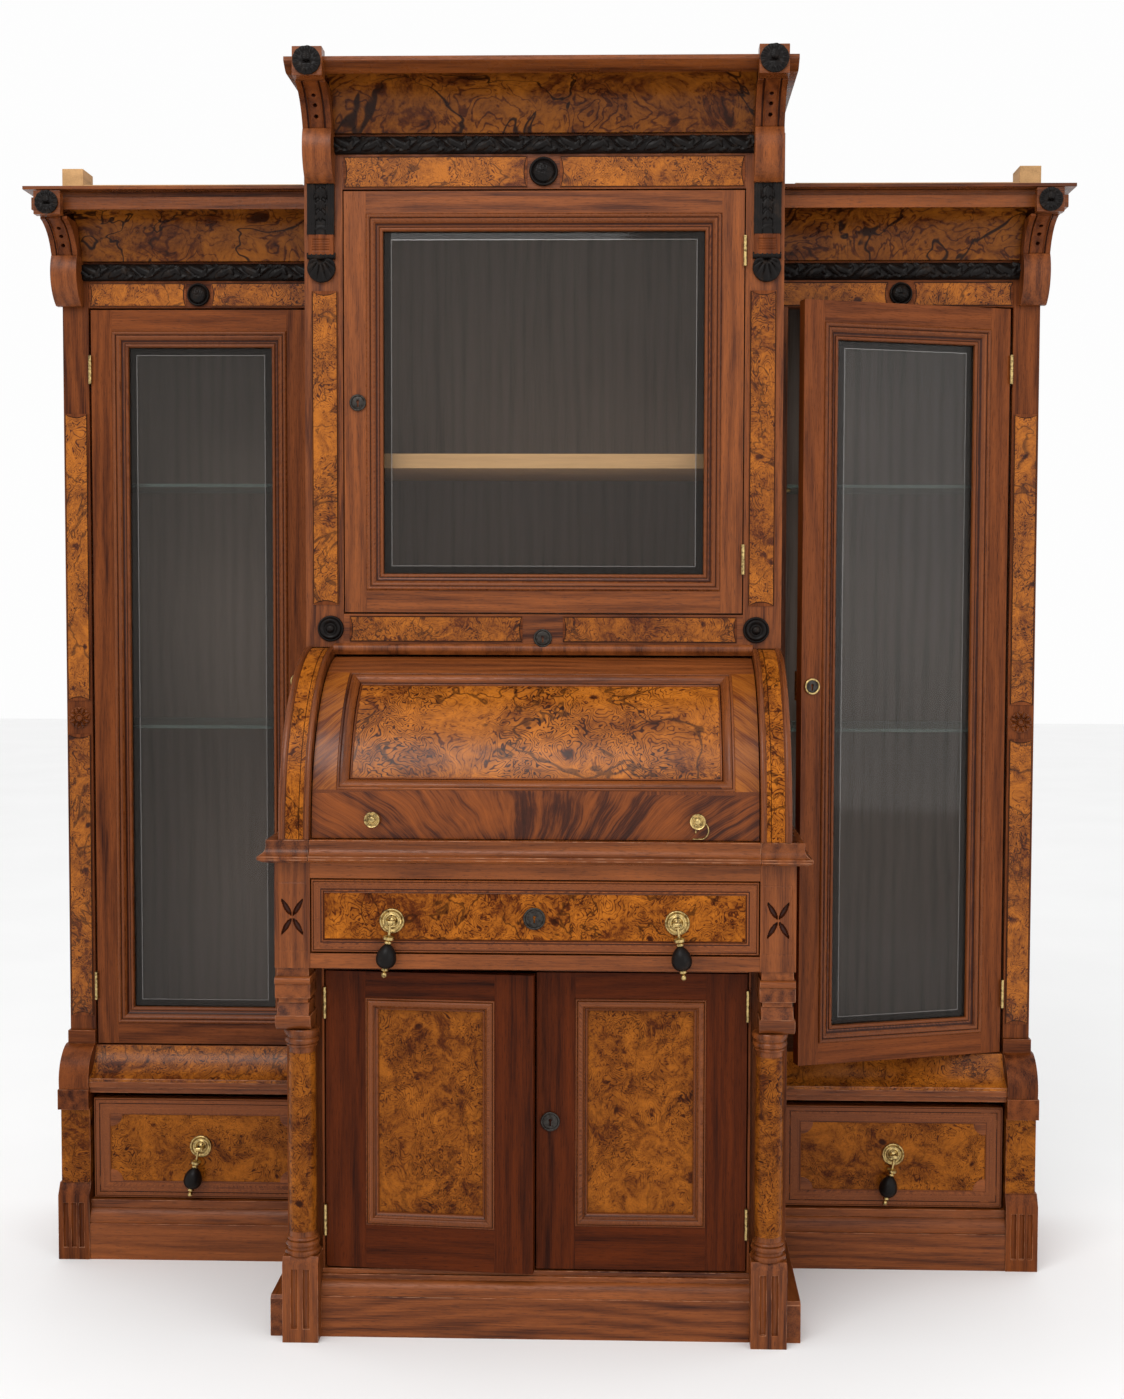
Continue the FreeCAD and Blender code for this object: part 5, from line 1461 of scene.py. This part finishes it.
def ringed_end(direction):
    """Stacked rings at one end of a column, in millimetres from that end."""
    line = np.concatenate([
        [(0, 0), (26.5, 0)],
        curve((27.6, 1.5), (28.5, 5), (27.6, 8.5), steps=4), [(24.2, 9.6), (23.8, 13.5)],
        curve((25.6, 14.5), (27.4, 18.5), (25.6, 22.5), steps=4),
        curve((23.2, 23.4), (25.2, 26.0), (23.2, 28.8), steps=4),
        curve((21.6, 29.6), (21.0, 34.0), (20.6, 40.0), steps=4), [(0, 40.0)]])
    return line * (1, direction)


class SECRETARY_OT_columns(Operator):
    """Burl-veneered columns between stacked rings"""

    bl_idname = "secretary.columns"
    bl_label = "Columns"

    def execute(self, context):
        parts = []
        steps = context.scene.secretary_work.turning
        for low, high in boxes_of("desk_columns"):
            middle = (low + high) / 2
            tall = (high[2] - low[2]) / MM
            shaft = np.concatenate([[(0, 38), (21.4, 38)],
                                    curve((21.8, 60), (22.0, tall / 2), (21.4, tall - 60)),
                                    [(21.2, tall - 38), (0, tall - 38)]])
            for z, profile, which in ((low[2], ringed_end(1), 0), (high[2], ringed_end(-1), 0),
                                      (low[2], shaft, 1)):
                made = lathed(profile * MM, (middle[0], middle[1], z), (0, 0, 1), steps,
                              which=which)
                made["grain"] = made["points"][:, (2, 0, 1)] + (middle[0] * 9, 0, 0)
                parts.append(made)
        piece("columns", parts, ["moulding", "burl_low"], "case", "walnut", ("desk_columns",))
        return {"FINISHED"}


# ------------------------------------------------------------------ hardware
PLATE = turned_height((0, 7.0), (0.12, 6.6), (0.24, 5.2), (0.32, 3.2), (0.40, 3.4), (0.48, 4.2),
                      (0.56, 3.4), (0.62, 2.2), (0.72, 2.1), (0.80, 3.2), (0.88, 4.0),
                      (0.95, 3.4), (1.0, 1.4))


def plate_height(u, v):
    """Ringed pull plate with a beaded band."""
    return PLATE(u, v) + 0.35 * MM * np.cos(38 * v) * np.exp(-(((u - 0.70) / 0.06) ** 2))


KNOB = np.array([(0, -3), (5.0, -3), (5.2, 3), (7.4, 6), (12.2, 8.2), (12.8, 10.2), (12.0, 12.0),
                 (10.8, 11.4), (9.8, 11.2), (9.0, 12.6), (7.8, 12.8), (6.9, 11.4), (5.6, 11.2),
                 (4.8, 12.9), (3.4, 13.8), (1.6, 14.0), (0, 14.0)])


def ring(radius, tube, flat=0.8):
    """Closed round profile of a ring, as (radius, height)."""
    turn = np.linspace(0, 2 * math.pi, 16, endpoint=False)
    return np.stack([radius + tube * np.cos(turn), flat * tube * np.sin(turn)], -1)


class SECRETARY_OT_hardware(Operator):
    """Ringed knobs, pull plates, two-colour drops and rims around the keyholes"""

    bl_idname = "secretary.hardware"
    bl_label = "Hardware"

    def execute(self, context):
        steps = context.scene.secretary_work.turning
        knobs = []
        for low, high in boxes_of("cylinder_knobs"):
            middle = (low + high) / 2
            out = np.array([0, middle[1] - PIVOT[1], middle[2] - PIVOT[2]])
            out /= np.linalg.norm(out)
            foot = np.array([middle[0], PIVOT[1], PIVOT[2]]) + out * DRUM
            knobs.append(lathed(KNOB * MM, foot, out, steps))
        piece("ringed_knobs", knobs, ["brass"], "cylinder", "brass", ("cylinder_knobs",))
        for name, plates, keyed in (("desk_drawer_plates", (0, 4), 8),
                                    ("wing_plate_left", (0,), None),
                                    ("wing_plate_right", (0,), None)):
            parts = [disc(*round_seat(*boxes_of(name)[i]), plate_height, 48, 152)
                     for i in plates]
            piece(name + "_ringed", parts, ["brass"], body_named(name), "brass", sharp=50)
            worked(name, "brass", {keyed: "iron"} if keyed else None, drop=plates, slot="brass")
        for name in ("desk_drop_left", "desk_drop_right", "wing_drop_left", "wing_drop_right"):
            worked(name, "brass", {3: "ebonized"}, ease=False, slot="ebonized", sharp=40)
        for name, solid, shown in (
                ("upper_door", 8, "upper_door"), ("lower_door_right", 13, "lower_door_right"),
                ("wing_door_left", 8, "wing_door_left"), ("wing_door_left", 8, "wing_door_right"),
                ("desk_drawer_plates", 8, "desk_drawer_plates"),
                ("cylinder_lock", 0, "cylinder_lock")):
            low, high = boxes_of(name)[solid]
            (x, _, z), radius = round_seat(low, high)
            made = lathed(ring(radius - 1.2 * MM, 1.7 * MM), (x, low[1] + 0.4 * MM, z),
                          (0, -1, 0), steps, closed=True)
            if shown != name:
                made["points"] = from_shut(mirrored(made["points"]), "wing_door_right_swing")
            bright = "brass" if name.startswith("wing") else "iron"
            piece("keyhole_rim_" + shown, [made], [bright], body_named(shown), "brass")
        return {"FINISHED"}


# --------------------------------------------------------------------- stage
def area_light(name, energy, size, place, target):
    """A soft rectangular light that faces a target."""
    light = bpy.data.lights.new(name, "AREA")
    light.energy, light.shape = energy, "RECTANGLE"
    light.size, light.size_y = size
    made = bpy.data.objects.new(name, light)
    made.location = place
    made.rotation_euler = (Vector(target) - Vector(place)).to_track_quat("-Z", "Y").to_euler()
    bpy.context.scene.collection.objects.link(made)


class SECRETARY_OT_stage(Operator):
    """Pale floor, even room light, two soft lights and the camera"""

    bl_idname = "secretary.stage"
    bl_label = "Stage"

    def execute(self, context):
        scene, stage = context.scene, context.scene.secretary_stage
        mesh = bpy.data.meshes.new("floor")
        reach = stage.reach
        mesh.from_pydata([(-reach, -reach, 0), (reach, -reach, 0), (reach, reach, 0),
                          (-reach, reach, 0)], [], [(0, 1, 2, 3)])
        floor = bpy.data.objects.new("floor", mesh)
        scene.collection.objects.link(floor)
        tree, shader = new_material("floor", Roughness=0.85)
        shade = noise(tree, object_place(tree), 2.0, 3.0)
        tree.links.new(ramp(tree, shade, [(0.3, (0.90, 0.90, 0.90)), (0.7, (0.92, 0.92, 0.92))]),
                       shader.inputs["Base Color"])
        mesh.materials.append(FINISHES["floor"])
        world = bpy.data.worlds.new("room")
        world.use_nodes = True
        back = world.node_tree.nodes["Background"]
        back.inputs["Color"].default_value = (1.0, 1.0, 1.0, 1.0)
        back.inputs["Strength"].default_value = stage.sky
        scene.world = world
        area_light("key", stage.key, (2.4, 1.6), (-0.9, -2.6, 3.7), (0, 0, 1.2))
        area_light("fill", stage.fill, (1.6, 2.4), (2.4, -2.7, 1.6), (0, 0, 1.0))
        scene.view_settings.view_transform = "Standard"
        data = bpy.data.cameras.new("camera")
        data.lens, data.sensor_width = stage.lens, 36.0
        data.shift_x, data.shift_y = stage.shift
        camera = bpy.data.objects.new("camera", data)
        camera.location, camera.rotation_euler = stage.eye, stage.turn
        scene.collection.objects.link(camera)
        scene.camera = camera
        return {"FINISHED"}


# --------------------------------------------------------------------- panel
PIECES = (SECRETARY_OT_joinery, SECRETARY_OT_strips, SECRETARY_OT_glazed_doors,
          SECRETARY_OT_cupboard_doors, SECRETARY_OT_cylinder, SECRETARY_OT_cheek_bands,
          SECRETARY_OT_carving, SECRETARY_OT_bosses, SECRETARY_OT_brackets,
          SECRETARY_OT_drawers, SECRETARY_OT_columns, SECRETARY_OT_hardware,
          SECRETARY_OT_fittings, SECRETARY_OT_stage)


class SECRETARY_PT_pieces(Panel):
    """Lists the pieces and their sizes and colours"""

    bl_idname = "SECRETARY_PT_pieces"
    bl_label = "Cylinder secretary"
    bl_space_type = "VIEW_3D"
    bl_region_type = "UI"
    bl_category = "Secretary"

    def draw(self, context):
        for group in (context.scene.secretary_finish, context.scene.secretary_work,
                      context.scene.secretary_stage):
            box = self.layout.box()
            for name in group.bl_rna.properties.keys():
                if name not in ("rna_type", "name"):
                    box.prop(group, name)
        for operator in PIECES:
            self.layout.operator(operator.bl_idname)


GROUPS = {"secretary_finish": SecretaryFinish, "secretary_work": SecretaryWork,
          "secretary_stage": SecretaryStage}


def register():
    """Adds the classes and the scene's settings."""
    for made in (*GROUPS.values(), *PIECES, SECRETARY_PT_pieces):
        bpy.utils.register_class(made)
    for name, group in GROUPS.items():
        setattr(bpy.types.Scene, name, PointerProperty(type=group))


def unregister():
    """Takes the settings and classes away."""
    for name in GROUPS:
        delattr(bpy.types.Scene, name)
    for made in (SECRETARY_PT_pieces, *reversed(PIECES), *reversed(GROUPS.values())):
        bpy.utils.unregister_class(made)


def main():
    """Builds every piece in order."""
    register()
    for operator in PIECES:
        group, name = operator.bl_idname.split(".")
        getattr(getattr(bpy.ops, group), name)()


if __name__ == "__main__":
    main()
